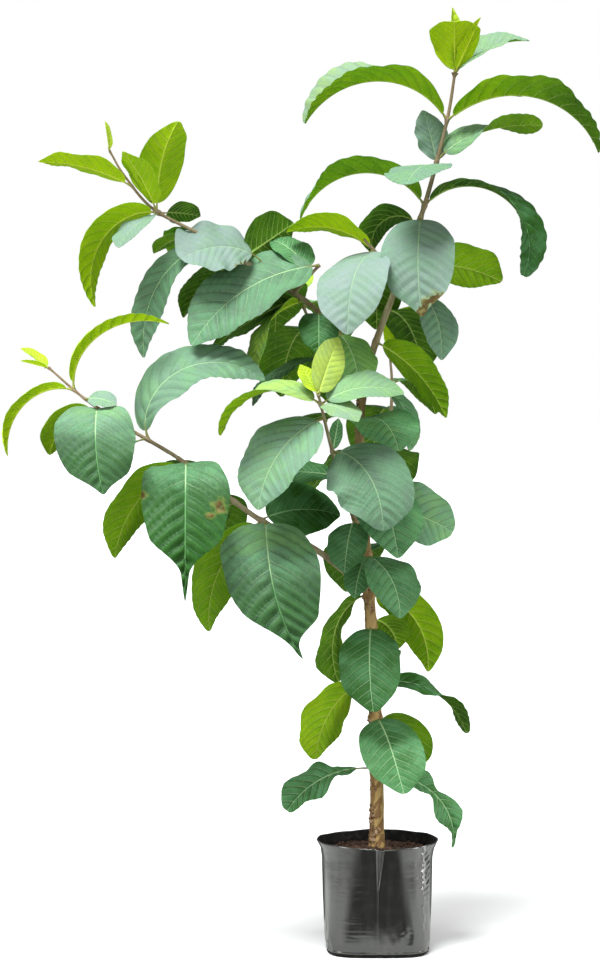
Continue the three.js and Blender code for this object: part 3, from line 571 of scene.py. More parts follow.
def bark_material():
    """Smooth tan bark that peels in thin red-brown flakes, greyer and greener on the younger shoots."""
    material, tree = new_material("guava_bark", Specular_IOR_Level=0.35)
    age = carried(tree, "stem_age", NUMBER)
    streak = mottle(tree, object_place(tree, (1.0, 1.0, 0.22)), 260.0, 0.38, 0.62, detail=4.0)
    slanting = object_place(tree, (1.0, 1.0, 0.26), (0.0, 0.5, 0.0))
    patch = mottle(tree, slanting, 170.0, 0.47, 0.54, detail=4.0)
    grain = mottle(tree, object_place(tree), 900.0, 0.3, 0.7)
    base = mix_colour(tree, product(tree, streak, 0.3), ramp(tree, age, BARK_AGES), STREAK)
    # The bark is darker russet on the faces turned to the left, and in patches.
    facing = parts(tree, put(tree, "ShaderNodeNewGeometry").outputs["Normal"])[0]
    leftward = added(tree, facing, product(tree, streak, -0.4))
    kept = product(tree, spread(tree, leftward, -0.95, -0.45, 1.0, 0.0), 0.9)
    russet = product(tree, largest(tree, patch, kept), spread(tree, age, 0.0, 0.75, 0.85, 0.25))
    base = mix_colour(tree, russet, base, RUSSET)
    base = mix_colour(tree, product(tree, grain, 0.22), base, PALE_GRAIN)
    height = added(tree, product(tree, streak, 0.8), product(tree, grain, 0.3), product(tree, patch, 0.7))
    rough = spread(tree, streak, 0, 1, 0.6, 0.85)
    paint(tree, Base_Color=base, Roughness=rough, Normal=bump(tree, height, 0.0004, 0.8))
    return material


def flake_material():
    material, tree = new_material("bark_flake", Roughness=0.8, Specular_IOR_Level=0.3)
    cloud = mottle(tree, object_place(tree), 300.0, 0.35, 0.65)
    paint(tree, Base_Color=ramp(tree, cloud, FLAKE_TONES))
    return material


def film_material():
    """Thin glossy black film: fine drawn-out streaks, a little dust, and pale where it is heat-sealed."""
    shine = dict(Specular_IOR_Level=1.0, Coat_Weight=0.5, Coat_Roughness=0.1)
    material, tree = new_material("black_film", **shine)
    here = object_place(tree)
    streaks = mottle(tree, object_place(tree, (1.0, 1.0, 0.18)), 150.0, 0.3, 0.7, detail=4.0)
    creases = mottle(tree, object_place(tree, (0.3, 0.3, 1.0)), 210.0, 0.25, 0.75)
    dust = mottle(tree, here, 70.0, 0.5, 0.72, detail=6.0)
    soiled = product(tree, dust, spread(tree, parts(tree, here)[2], 0.0, 0.03, 0.22, 0.05))
    colour = mix_colour(tree, soiled, FILM_BLACK, FILM_DUST)
    worn = spread(tree, creases, 0.2, 0.7, 0.55, 1.0)
    colour = mix_colour(tree, product(tree, carried(tree, "sealed", NUMBER), worn), colour, SEALED_GREY)
    rough = added(tree, spread(tree, streaks, 0, 1, 0.14, 0.24), product(tree, soiled, 0.5))
    height = added(tree, product(tree, streaks, 0.4), product(tree, creases, 0.6))
    paint(tree, Base_Color=colour, Roughness=rough, Normal=bump(tree, height, 0.0002, 0.5))
    return material


def painted_shade_film_material():
    """The same film, matte and a darker black: painted shade on the inside, and a painted contact shadow on
    the hem that it stands on.
    """
    material, tree = new_material("painted_shade_film", Roughness=0.75, Specular_IOR_Level=0.25)
    dust = mottle(tree, object_place(tree), 160.0, 0.45, 0.75)
    paint(tree, Base_Color=mix_colour(tree, dust, SHADE_BLACK, MATTE_DUST))
    return material


def soil_material(name, stops):
    material, tree = new_material(name, Roughness=0.95, Specular_IOR_Level=0.2)
    here = object_place(tree)
    clods = mottle(tree, here, 260.0, 0.35, 0.65, detail=6.0)
    grit = mottle(tree, here, 1400.0, 0.3, 0.7, detail=4.0)
    colour = mix_colour(tree, product(tree, grit, 0.35), ramp(tree, clods, stops), GRIT_COLOUR)
    height = added(tree, clods, product(tree, grit, 0.5))
    paint(tree, Base_Color=colour, Normal=bump(tree, height, 0.0012))
    return material


TOP, UNDER = (leaf_material(name) for name in LEAF_SIDES)
STALK = stalk_material()
BARK = bark_material()
FLAKE = flake_material()
FILM = film_material()
PAINTED_SHADE_FILM = painted_shade_film_material()
SOIL = soil_material("moist_soil", MOIST)
CRUMB = soil_material("soil_crumb", DRIER)

# ---- Meshes -----------------------------------------------------------------------------------


def add_values(mesh, name, kind, values, domain="POINT"):
    """Gives each point, or each edge, of a mesh a value of its own."""
    key = "vector" if kind == "FLOAT_VECTOR" else "value"
    mesh.attributes.new(name, kind, domain).data.foreach_set(key, values)


class Heap:
    """Points and faces gathered for one mesh, with what each point carries for its material."""

    CARRIED = ("leaf_place", "leaf_span", "leaf_kind")

    def __init__(self):
        self.points, self.faces, self.slots, self.uvs, self.sharp = [], [], [], [], []
        self.carried = {name: [] for name in self.CARRIED}
        self.count = 0

    def add(self, points, faces, slots, face_uvs, sharp=None, **values):
        """face_uvs holds a UV for each corner of each face. sharp marks the points of sharp edges."""
        self.points.append(points)
        self.faces += [[i + self.count for i in face] for face in faces]
        self.slots += slots
        self.uvs.append(np.asarray(face_uvs, float).reshape(-1, 2))
        self.sharp.append(np.zeros(len(points), int) if sharp is None else sharp)
        for name in self.CARRIED:
            self.carried[name].append(np.broadcast_to(values.get(name, (0, 0, 0)), (len(points), 3)))
        self.count += len(points)

    def build(self, name, materials):
        mesh = bpy.data.meshes.new(name)
        mesh.from_pydata((np.vstack(self.points) * MM).tolist(), [], self.faces)
        for material in materials:
            mesh.materials.append(material)
        mesh.polygons.foreach_set("material_index", self.slots)
        mesh.polygons.foreach_set("use_smooth", [True] * len(self.faces))
        for title in self.CARRIED:
            values = np.vstack(self.carried[title]).astype(np.float32)
            add_values(mesh, title, "FLOAT_VECTOR", values.ravel())
        atlas = mesh.uv_layers.new(name="OFBake")
        atlas.data.foreach_set("uv", np.vstack(self.uvs).astype(np.float32).ravel())
        edges = np.empty(len(mesh.edges) * 2, int)
        mesh.edges.foreach_get("vertices", edges)
        marks = np.concatenate(self.sharp)[edges.reshape(-1, 2)]
        crease = (marks[:, 0] > 0) & (marks[:, 0] == marks[:, 1])
        add_values(mesh, "sharp_edge", "BOOLEAN", crease, "EDGE")
        mesh.update()
        return link(name, mesh)


def link(name, mesh):
    piece = bpy.data.objects.new(name, mesh)
    bpy.context.scene.collection.objects.link(piece)
    return piece


def dress(piece, slot, *replaced):
    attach(piece, "root")
    if replaced:
        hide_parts(*replaced)
    return piece


def bell(value, middle, width):
    """1 at the middle, and about a third one width away from it."""
    return np.exp(-(((value - middle) / width) ** 2))


def ease(value):
    """From 0 to 1 with a soft start and end, and held outside."""
    value = np.clip(value, 0, 1)
    return value**2 * (3 - 2 * value)


def waves(rng, x, y, length, count=4):
    """Gentle irregular swells over x and y, about one length apart, from -1 to 1."""
    height = np.zeros(np.broadcast(x, y).shape)
    for _ in range(count):
        turn, phase = rng.uniform(0, 2 * np.pi, 2)
        reach = length * rng.uniform(0.7, 1.5)
        height += np.sin(2 * np.pi * (x * np.cos(turn) + y * np.sin(turn)) / reach + phase)
    return height / count


def smooth_path(points, steps=24):
    """A line through the points that turns evenly at each."""
    p = np.array(points, float)
    q = np.vstack([2 * p[0] - p[1], p, 2 * p[-1] - p[-2]])
    t = (np.arange(steps) / steps)[:, None]
    spans = []
    for a, b, c, d in zip(q, q[1:], q[2:], q[3:]):
        cubic = (3 * b - a - 3 * c + d) * t**3
        spans.append(0.5 * (2 * b + (c - a) * t + (2 * a - 5 * b + 4 * c - d) * t**2 + cubic))
    return np.vstack([*spans, p[-1:]])


class Shoot:
    """A limb's middle line, and its radius along it."""

    def __init__(self, name):
        self.name = name
        points, self.radii = SHOOTS[name]
        self.line = smooth_path(points)
        lengths = np.linalg.norm(np.diff(self.line, axis=0), axis=1)
        self.distance = np.concatenate([[0], np.cumsum(lengths)])
        self.length = self.distance[-1]

    def place(self, at):
        spot = at * self.length
        return np.array([np.interp(spot, self.distance, self.line[:, k]) for k in range(3)])

    def radius(self, at):
        radius = self.radii[0] + (self.radii[1] - self.radii[0]) * at
        if self.name == "trunk":
            radius = radius + FLARE["width"] * np.exp(-at * self.length / FLARE["height"])
        return radius


# ---- Leaves -----------------------------------------------------------------------------------

AXIS_STEPS = 80
# Places across half a blade, from midrib to margin: close together at the midrib and at the margin.
HALF_ACROSS = np.array([0.015, 0.045, 0.1, 0.18, 0.28, 0.39, 0.51, 0.64, 0.77, 0.88, 0.96, 1.0])
ACROSS = np.concatenate([-HALF_ACROSS[::-1], [0], HALF_ACROSS])
BASE_POWER = 0.52  # how soon a blade widens from its base
BLADE_THICK = 0.5
MARGIN_THICK = 0.24
OUTLINE_STRAY = 0.035  # of the half width
MARGIN_DROP = 10  # degrees that each half bends down again by its margin
WAVE_HEIGHT = 0.136  # of the half width
PUCKER = 0.016  # of the length
VEIN_LEAN, VEIN_CURVE = 0.62, 0.3  # how far forward a side vein runs on its way to the margin
HALVES_SHIFT = 0.28  # how far the veins of one half are shifted against the other's, in gaps
HARM_CRUMPLE = 1.6
STALK_RADIUS = (1.35, 0.95)
STALK_SWELLING = 1.9
STALK_SIDES, STALK_RINGS = 8, 9
CELL_MARGIN = 0.03


def half_width(t, wide, tip):
    widest = BASE_POWER / (BASE_POWER + tip)
    return 0.5 * wide * (t / widest) ** BASE_POWER * ((1 - t) / (1 - widest)) ** tip


def leaf_frames(shoot, leaf, distances):
    """Middle, direction, side and upper side along a leaf, by the rule that its row gives."""
    whole = leaf["stalk"] + leaf["long"]

    def direction(u):
        rise = np.radians(leaf["rise"] - leaf["arch"] * u ** leaf["bend"])
        aim = np.radians(leaf["aim"] + leaf["sweep"] * u)
        return np.stack([np.cos(rise) * np.cos(aim), np.cos(rise) * np.sin(aim), np.sin(rise)], 1)

    def level_side(u):
        aim = np.radians(leaf["aim"] + leaf["sweep"] * u)
        return np.stack([-np.sin(aim), np.cos(aim), 0 * aim], 1)

    steps = (np.arange(AXIS_STEPS) + 0.5) / AXIS_STEPS
    walked = np.cumsum(direction(steps) * whole / AXIS_STEPS, axis=0)
    line = shoot.place(leaf["at"]) + np.vstack([np.zeros(3), walked])
    marks = np.linspace(0, 1, AXIS_STEPS + 1)
    line = line + level_side(marks) * (leaf["bow"] * leaf["long"] * marks**3)[:, None]
    u = distances / whole
    middle = np.stack([np.interp(u, marks, line[:, k]) for k in range(3)], 1)
    along, level = direction(u), level_side(u)
    above = np.cross(along, level)
    t = np.clip((distances - leaf["stalk"]) / leaf["long"], 0, 1)
    turn = np.radians(leaf["roll"] + leaf["twist"] * t)[:, None]
    side = level * np.cos(turn) + above * np.sin(turn)
    return middle, along, side, above * np.cos(turn) - level * np.sin(turn)


def margin_waves(rng, t, count=4):
    """Swells along the blade, other ones on each side of its midrib."""
    right, left = (waves(rng, t, 0 * t, 1.0, count)[:, None] for _ in range(2))
    return np.where(ACROSS > 0, right, left)


def grid_faces(grid):
    """Triangles, so that both sides of a thin blade are split alike and can't cross."""
    a, b, c, d = (part.ravel() for part in (grid[:-1, :-1], grid[1:, :-1], grid[1:, 1:], grid[:-1, 1:]))
    return np.vstack([np.stack([a, b, c], 1), np.stack([a, c, d], 1)])


def rim_loop(grid):
    """The points round a grid's edge, in the order that its faces go round them."""
    return np.concatenate([grid[:, 0], grid[-1, 1:], grid[-2::-1, -1], grid[0, -2:0:-1]])


def cell_uv(cell, cells, u, v):
    """A place in one cell of a square atlas."""
    side = math.ceil(math.sqrt(cells))
    left, low = cell % side + CELL_MARGIN, cell // side + CELL_MARGIN
    inner = 1 - 2 * CELL_MARGIN
    return np.stack([(left + inner * u) / side, (low + inner * v) / side], -1)


def blade_shape(leaf, t):
    """Over places along the blade: how far its points lie to the side, how high on top and below,
    the side veins' phase and gap, and how brown it is."""
    rng = np.random.default_rng(leaf["number"])
    long, wide = leaf["long"], leaf["wide"]
    waist_at, waist_depth = leaf["waist"]
    half = half_width(t, wide, leaf["tip"]) * (1 - leaf["point"] * ease((t - leaf["tail"]) / 0.22))
    half = half * (1 - waist_depth * bell(t, waist_at, 0.09))
    outline_waves = margin_waves(rng, t * 3)
    lift_waves = margin_waves(rng, t * 2.4, 3)
    # From here on values along the blade stand in a column, and those across it in a row.
    t, half, v = t[:, None], half[:, None], ACROSS[None, :]
    share = np.abs(v)
    reach = half * (1 + OUTLINE_STRAY * outline_waves) * v
    # Each half rises from the midrib by the fold and bends down again towards its margin.
    curled_side, curl_from, curl = leaf["curl"]
    curling = ease((t - curl_from) / 0.35) * (v * curled_side > 0)
    fold = np.radians(leaf["fold"] + curl * curling) - np.radians(MARGIN_DROP) * share / 2
    x, y, z = long * t * np.ones_like(v), reach * np.cos(fold), np.abs(reach) * np.sin(fold)
    z = z + WAVE_HEIGHT * leaf["wave"] * half * share**2 * lift_waves
    # Side veins run forward to the margin, and the blade swells between them.
    pairs = round(7 + long * 0.028)
    run = (x - VEIN_LEAN * np.abs(y) - VEIN_CURVE * y**2 / (wide / 2)) / long
    phase = pairs * run + np.where(v > 0, 0.0, HALVES_SHIFT)
    swell = (np.sin(np.pi * phase) ** 2 + 0.05) ** 0.42 - 0.58
    flat_ends = np.clip(t / 0.08, 0, 1) * np.clip((1 - t) / 0.1, 0, 1)
    flat_rims = np.clip(share / 0.12, 0, 1) * (1 - 0.5 * share**2)
    depth = PUCKER * long * leaf["quilt"] * flat_ends * (0.5 + 0.8 * t) * flat_rims
    blister = 0.3 * waves(rng, x, y, 10.0, 5) + waves(rng, x, y, 21.0, 4)
    z = z + depth * (1.15 * swell + 0.28 * blister)
    harm = np.zeros_like(x)
    for spot_along, spot_across, spot_reach in leaf["harm"]:
        away = np.hypot((t - spot_along) * long, (v - spot_across) * half)
        harm = np.maximum(harm, np.clip(1.25 - away / spot_reach, 0, 1))
    z = z + harm * HARM_CRUMPLE * waves(rng, x, y, 6.0, 5)
    # The midrib lies in a groove on top and stands out below.
    groove = 0.45 * bell(y, 0, 1.3) * (1 - t)
    rib = (0.35 + 0.0075 * long * (1 - t) ** 0.8) * bell(y, 0, 0.7 + 0.006 * long)
    thick = BLADE_THICK + (MARGIN_THICK - BLADE_THICK) * share
    return y, z + thick / 2 - groove, z - thick / 2 - rib, phase, long / pairs, harm


def add_leaf(heap, shoot, leaf, cell, cells):
    """One leaf: a stalk, and a thin closed blade that swells between its veins."""
    rows, columns = int(26 + leaf["long"] * 0.4), len(ACROSS)
    t = 0.002 + 0.994 * np.linspace(0, 1, rows) ** 1.12
    middle, _, side, top = leaf_frames(shoot, leaf, leaf["stalk"] + leaf["long"] * t)
    y, high, low, phase, gap, harm = blade_shape(leaf, t)

    def surface(height):
        offset = y[..., None] * side[:, None, :] + height[..., None] * top[:, None, :]
        return (middle[:, None, :] + offset).reshape(-1, 3)

    size = rows * columns
    grid = np.arange(size).reshape(rows, columns)
    upper = grid_faces(grid)
    lower = (upper + size)[:, ::-1]
    loop = rim_loop(grid)
    onward = np.roll(loop, -1)
    rims = np.stack([onward, loop, loop + size, onward + size], 1)
    t, v = np.repeat(t, columns), np.tile(ACROSS, rows)
    both = np.vstack([cell_uv(k, cells, v * 0.5 + 0.5, t) for k in (cell, cell + 1)])
    rim_uv = both[np.stack([onward, loop, loop, onward], 1)]
    sharp = np.zeros(2 * size, int)
    sharp[loop] = 2 * leaf["number"] + 1
    sharp[loop + size] = 2 * leaf["number"] + 2
    deep = leaf["deepen"] * np.clip((t - 0.25) / 0.45, 0, 1)
    puckered = leaf["quilt"] * np.clip(0.35 + 0.9 * t, 0, 1)
    values = {
        "leaf_place": np.stack([phase.ravel(), y.ravel(), np.abs(v)], 1),
        "leaf_span": np.stack([t, np.full(size, gap), puckered], 1),
        "leaf_kind": np.stack([leaf["age"] + deep, leaf["painted_sheen"] * (1 - deep), harm.ravel()], 1),
    }
    heap.add(
        np.vstack([surface(high), surface(low)]),
        [*upper.tolist(), *lower.tolist(), *rims.tolist()],
        [0] * len(upper) + [1] * len(lower) + [0] * len(rims),
        np.vstack([uv.reshape(-1, 2) for uv in (both[upper], both[lower], rim_uv)]),
        sharp,
        **{name: np.vstack([each, each]) for name, each in values.items()},
    )
    add_stalk(heap, shoot, leaf, cell + 2, cells)


def tube(middle, side, front, radius, sides):
    """A closed tube's points and faces. Its ends are drawn to a point each."""
    turn = 2 * np.pi * np.arange(sides) / sides
    ring = np.cos(turn)[None, :, None] * side[:, None, :] + np.sin(turn)[None, :, None] * front[:, None, :]
    body = (middle[:, None, :] + radius[:, None, None] * ring).reshape(-1, 3)
    count = len(middle)
    points = np.vstack([body, middle[:1], middle[-1:]])
    pairs = [(j, (j + 1) % sides) for j in range(sides)]
    faces = []
    for low in range(0, (count - 1) * sides, sides):
        faces += [(low + j, low + k, low + sides + k, low + sides + j) for j, k in pairs]
    foot, last = count * sides, (count - 1) * sides
    for j, k in pairs:
        faces += [(k, j, foot), (last + j, last + k, foot + 1)]
    return points, faces


def add_stalk(heap, shoot, leaf, cell, cells):
    """The stalk, from inside its limb to under the blade's base, with a small swelling at its foot."""
    start = 0.4 * shoot.radius(leaf["at"])
    distances = np.linspace(start, leaf["stalk"] + 0.07 * leaf["long"], STALK_RINGS)
    middle, along, side, top = leaf_frames(shoot, leaf, distances)
    size = 0.55 + 0.45 * leaf["long"] / 150
    places = [start, start + 4, leaf["stalk"], distances[-1]]
    radius = size * np.interp(distances, places, [STALK_SWELLING, *STALK_RADIUS, 0.5])
    sunk = np.interp(distances, [leaf["stalk"], distances[-1]], [0.2, 0.8])
    points, faces = tube(middle - top * sunk[:, None], side, np.cross(along, side), radius, STALK_SIDES)
    ring = np.arange(len(points))
    u, v = (ring % STALK_SIDES) / STALK_SIDES * 0.9, (ring // STALK_SIDES) / 10
    u[STALK_RINGS * STALK_SIDES :] = 0.45
    corners = []
    for face in faces:
        seam = max(u[i] for i in face[:2]) - min(u[i] for i in face[:2]) > 0.5
        for i in face:
            corners.append(cell_uv(cell, cells, 0.9 if seam and u[i] < 0.05 else u[i], min(v[i], 0.95)))
    heap.add(points, faces, [2] * len(faces), corners, leaf_kind=(leaf["age"], leaf["painted_sheen"], 0))


ALL_SHOOTS = {name: Shoot(name) for name in SHOOTS}


def leaf_rows(name):
    """A shoot's leaves, each with the habit of all leaves and a number of its own."""
    first = 100 * list(LEAVES).index(name)
    return [
        {**LEAF_HABIT, "quilt": 0.75 + 0.4 * row["age"], **row, "number": first + i}
        for i, row in enumerate(LEAVES[name])
    ]


def foliage(title, shoots, replaced):
    """All the leaves of some shoots as one piece, which stands for the solids named."""
    rows = [(ALL_SHOOTS[name], leaf) for name in shoots for leaf in leaf_rows(name)]
    heap = Heap()
    for i, (shoot, leaf) in enumerate(rows):
        add_leaf(heap, shoot, leaf, 3 * i, 3 * len(rows))
    piece = heap.build(title, [TOP, UNDER, STALK])
    dress(piece, "young_leaf" if "leader" in shoots else "leaf", *replaced)


def leaf_nodes(start):
    """The solids of one part of the plant that are leaves: all but its bough."""
    return [n for n in sorted(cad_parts) if n.startswith(start) and not n.endswith("_bough")]


PLAIN_LIMBS = ("long_left", "middle_front", "back_right", "back_left")  # with no side shoot
foliage("trunk_leaves", ["trunk"], leaf_nodes("trunk_leaf_"))
for limb_name in PLAIN_LIMBS:
    foliage(f"{limb_name}_leaves", [limb_name], leaf_nodes(limb_name))
foliage("upper_left_leaves", ["upper_left", "upper_side"], leaf_nodes("upper_left"))
foliage("leader_leaves", ["leader", "inner_left"], ["leader_spray"])

# ---- Limbs ------------------------------------------------------------------------------------


def named(tree, name):
    """What a mesh carries under a name, for a geometry tree."""
    node = put(tree, "GeometryNodeInputNamedAttribute", {"Name": name}, data_type="FLOAT")
    return node.outputs["Attribute"]


def in_material(tree, geometry, material):
    return made(tree, "GeometryNodeSetMaterial", {"Geometry": geometry, "Material": material})


def moved(tree, geometry, offset):
    return made(tree, "GeometryNodeSetPosition", {"Geometry": geometry, "Offset": offset})


def scattered(tree, geometry, density, seed):
    sizes = {"Mesh": geometry, "Density": density, "Seed": seed}
    return put(tree, "GeometryNodeDistributePointsOnFaces", sizes).outputs


def chance(tree, least, most, seed):
    """A number for each point, from least to most."""
    ends = {2: least, 3: most, "Seed": seed}
    return put(tree, "FunctionNodeRandomValue", ends, data_type="FLOAT").outputs[1]


def chance_turn(tree, least, most, seed):
    """A turn about each axis for each point, in radians."""
    ends = {0: least, 1: most, "Seed": seed}
    return made(tree, "FunctionNodeRandomValue", ends, data_type="FLOAT_VECTOR")


def copies(tree, points, instance, rotation, scale):
    """A copy of the instance on each point, as plain geometry."""
    sizes = {"Points": points, "Instance": instance, "Rotation": rotation, "Scale": scale}
    placed = made(tree, "GeometryNodeInstanceOnPoints", sizes)
    return made(tree, "GeometryNodeRealizeInstances", {0: placed})


def apply_tree(source, tree, values, name):
    """Runs a geometry tree on an object and keeps the result as a plain mesh."""
    modifier = source.modifiers.new(tree.name, "NODES")
    modifier.node_group = tree
    for item in tree.interface.items_tree:
        if item.in_out == "INPUT" and item.name in values:
            modifier[item.identifier] = values[item.name]
    bpy.context.view_layer.update()
    evaluated = source.evaluated_get(bpy.context.evaluated_depsgraph_get())
    mesh = bpy.data.meshes.new_from_object(evaluated)
    mesh.name = name
    source.modifiers.remove(modifier)
    return mesh


def limb_tree():
    """Round bark along each line of the mesh, as thick as the line's girth says, with raised grain."""
    tree, take, give = geometry_tree(
        "limb_bark",
        ("Sides", "Int", 24),
        ("Ring Spacing", "Float", 0.0016),
        ("Grain Depth", "Float", 0.0006),
        ("Grain Scale", "Float", 180.0),
        ("Bark", "Material"),
    )
    girth = named(tree, "girth")
    lines = made(tree, "GeometryNodeMeshToCurve", {"Mesh": take["Geometry"]})
    spacing = {"Curve": lines, "Length": take["Ring Spacing"]}
    evened = made(tree, "GeometryNodeResampleCurve", spacing, mode="LENGTH")
    ring = made(tree, "GeometryNodeCurvePrimitiveCircle", {"Resolution": take["Sides"], "Radius": 1.0})
    sizes = {"Curve": evened, "Profile Curve": ring, "Scale": girth, "Fill Caps": True}
    tubes = made(tree, "GeometryNodeCurveToMesh", sizes)
    here = made(tree, "GeometryNodeInputPosition")
    drawn_out = made(tree, "ShaderNodeVectorMath", {0: here, 1: (1.0, 1.0, 0.2)}, operation="MULTIPLY")
    grain = noise(tree, drawn_out, take["Grain Scale"], 3.0)
    knots = product(tree, noise(tree, here, 60.0, 2.0), 1.2)
    height = math_node(tree, "SUBTRACT", added(tree, grain, knots), 1.1)
    thickness = math_node(tree, "DIVIDE", girth, 0.006)
    height = product(tree, height, take["Grain Depth"], thickness)
    offset = scaled(tree, made(tree, "GeometryNodeInputNormal"), height)
    smooth = {"Geometry": moved(tree, tubes, offset), "Shade Smooth": True}
    shaded = made(tree, "GeometryNodeSetShadeSmooth", smooth)
    feed(tree, give["Geometry"], in_material(tree, shaded, take["Bark"]))
    return tree


def flake_tree():
    """Thin curled flakes that stand off the bark where it peels."""
    tree, take, give = geometry_tree(
        "bark_flakes",
        ("Density", "Float", 9000.0),
        ("Flake Size", "Float", 0.0030),
        ("Seed", "Int", 3),
        ("Flake", "Material"),
    )
    # One side of the stem peels more than the other.
    facing = parts(tree, made(tree, "GeometryNodeInputNormal"))[0]
    one_side = spread(tree, facing, -0.6, 0.2, 1.0, 0.06)
    density = product(tree, take["Density"], named(tree, "peeling"), one_side)
    points = scattered(tree, take["Geometry"], density, take["Seed"])
    sizes = {"Size": (0.8, 1.9, 0.05), "Vertices X": 4, "Vertices Y": 4, "Vertices Z": 2}
    chip = made(tree, "GeometryNodeMeshCube", sizes)
    across = parts(tree, made(tree, "GeometryNodeInputPosition"))[1]
    curled = moved(tree, chip, made(tree, "ShaderNodeCombineXYZ", {2: product(tree, across, across, 0.38)}))
    both = {0: points["Rotation"], 1: chance_turn(tree, (-0.15, -0.05, -0.4), (0.15, 0.3, 0.7), 11)}
    turned = made(tree, "FunctionNodeRotateRotation", both, rotation_space="LOCAL")
    scale = product(tree, chance(tree, 0.45, 1.3, 12), take["Flake Size"])
    chips = copies(tree, points["Points"], curled, turned, scale)
    feed(tree, give["Geometry"], in_material(tree, chips, take["Flake"]))
    return tree


LIMB_TREE = limb_tree()

# How old the bark looks at a shoot's foot and tip: 0 is the tan trunk, 1 the grey-green new growth.
BARK_AGE = {
    "trunk": (0.0, 0.5), "leader": (0.6, 1.0), "inner_left": (0.7, 0.9), "upper_left": (0.5, 1.0),
    "upper_side": (0.6, 0.9), "long_left": (0.75, 1.0), "middle_front": (0.5, 0.85),
    "back_right": (0.5, 0.9), "back_left": (0.5, 0.9),
}
FOOT_IN_SOIL = 7.0
LINE_STEP = 1.5
KNUCKLE_LENGTH, COLLAR_LENGTH = 2.6, 5.0
PEELING = [(120, 26, 1.0), (350, 14, 0.5), (233, 10, 0.4), (543, 16, 0.5)]  # height, reach, how much


def limb_lines(title, names):
    """The middle lines of some shoots as one mesh of edges that carries girth, age and peeling."""
    points, edges, girth, age, peeling = [], [], [], [], []
    for name in names:
        shoot = ALL_SHOOTS[name]
        marks = np.linspace(0, 1, max(8, int(shoot.length / LINE_STEP)))
        line = np.array([shoot.place(m) for m in marks])
        thick = shoot.radius(marks)
        along = marks * shoot.length
        # Knuckles where leaves stand, and a collar where a side shoot leaves its limb.
        for leaf in leaf_rows(name):
            knuckle = bell(along, leaf["at"] * shoot.length, KNUCKLE_LENGTH)
            thick = thick + (0.35 + 0.05 * thick) * knuckle
        if name not in ("trunk", "leader"):
            thick = thick * (1 + 0.45 * np.exp(-along / COLLAR_LENGTH))
        if name == "trunk":
            line = np.vstack([line[0] - (0, 0, FOOT_IN_SOIL), line])
            thick = np.concatenate([[thick[0] * 1.12], thick])
            marks = np.concatenate([[0], marks])
        first = len(points)
        points += (line * MM).tolist()
        edges += [(first + i, first + i + 1) for i in range(len(line) - 1)]
        girth += (thick * MM).tolist()
        age += np.interp(marks, [0, 1], BARK_AGE[name]).tolist()
        loose = sum(much * bell(line[:, 2], height, reach) for height, reach, much in PEELING)
        peeling += (loose * (name == "trunk")).tolist()
    mesh = bpy.data.meshes.new(title)
    mesh.from_pydata(points, edges, [])
    for name, values in (("girth", girth), ("stem_age", age), ("peeling", peeling)):
        add_values(mesh, name, "FLOAT", values)
    return link(title, mesh)


def wood(title, names, replaced, sides=18, spacing=0.0018):
    lines = limb_lines(title + "_lines", names)
    values = {"Sides": sides, "Ring Spacing": spacing, "Bark": BARK}
    mesh = apply_tree(lines, LIMB_TREE, values, title)
    bpy.data.objects.remove(lines)
    return dress(link(title, mesh), "bark", *replaced)


trunk_wood = wood("trunk_and_leader", ["trunk", "leader", "inner_left"], ["trunk"], 32, 0.0015)
wood("upper_left_limb", ["upper_left", "upper_side"], ["upper_left_bough"])
for limb_name in PLAIN_LIMBS:
    wood(f"{limb_name}_limb", [limb_name], [f"{limb_name}_bough"])
flakes = apply_tree(trunk_wood, flake_tree(), {"Density": 80000.0, "Flake": FLAKE}, "bark_flakes")
dress(link("bark_flakes", flakes), "bark")

# ---- The bag and its soil ---------------------------------------------------------------------


def ring_at(radius, turn, height):
    return np.stack([radius * np.cos(turn), radius * np.sin(turn), height + 0 * turn], 1)


def stack_faces(rows, turns, inward=False):
    """Faces between rings that lie one on another, and to a middle point at each end."""
    ring = np.arange(turns)
    onward = (ring + 1) % turns
    last, foot = (rows - 1) * turns, rows * turns
    quads = [np.stack([ring, onward, onward + turns, ring + turns], 1) + k * turns for k in range(rows - 1)]
    caps = [np.stack([onward, ring, 0 * ring + foot], 1)]
    caps.append(np.stack([last + ring, last + onward, 0 * ring + foot + 1], 1))
    if inward:
        quads, caps = [q[:, [0, 3, 2, 1]] for q in quads], [c[:, [1, 0, 2]] for c in caps]
    return np.vstack(quads).tolist() + np.vstack(caps).tolist()


def bag_radius(height, turn):
    """The bag's outside: squarish at the foot, round at the mouth."""
    share = np.clip(height / BAG_HEIGHT, 0, 1)
    power = BAG_CORNERS["foot"] + (BAG_CORNERS["mouth"] - BAG_CORNERS["foot"]) * np.sqrt(share)
    at_sides = np.abs(np.cos(turn)) ** SIDE_SHARPNESS
    half = np.interp(height, *zip(*BAG_FRONT_PROFILE))
    half = half + at_sides * (np.interp(height, *zip(*BAG_PROFILE)) - half)
    x, y = np.abs(np.cos(turn)) + 1e-9, np.abs(np.sin(turn)) + 1e-9
    return half / (x**power + y**power) ** (1 / power)


def seam_line(height):
    """How far right of the middle the heat-sealed seam runs, in millimetres."""
    return SEAM_RIGHT + 0.8 * np.sin(height * 0.37) + 0.45 * np.sin(height * 1.1 + 1)


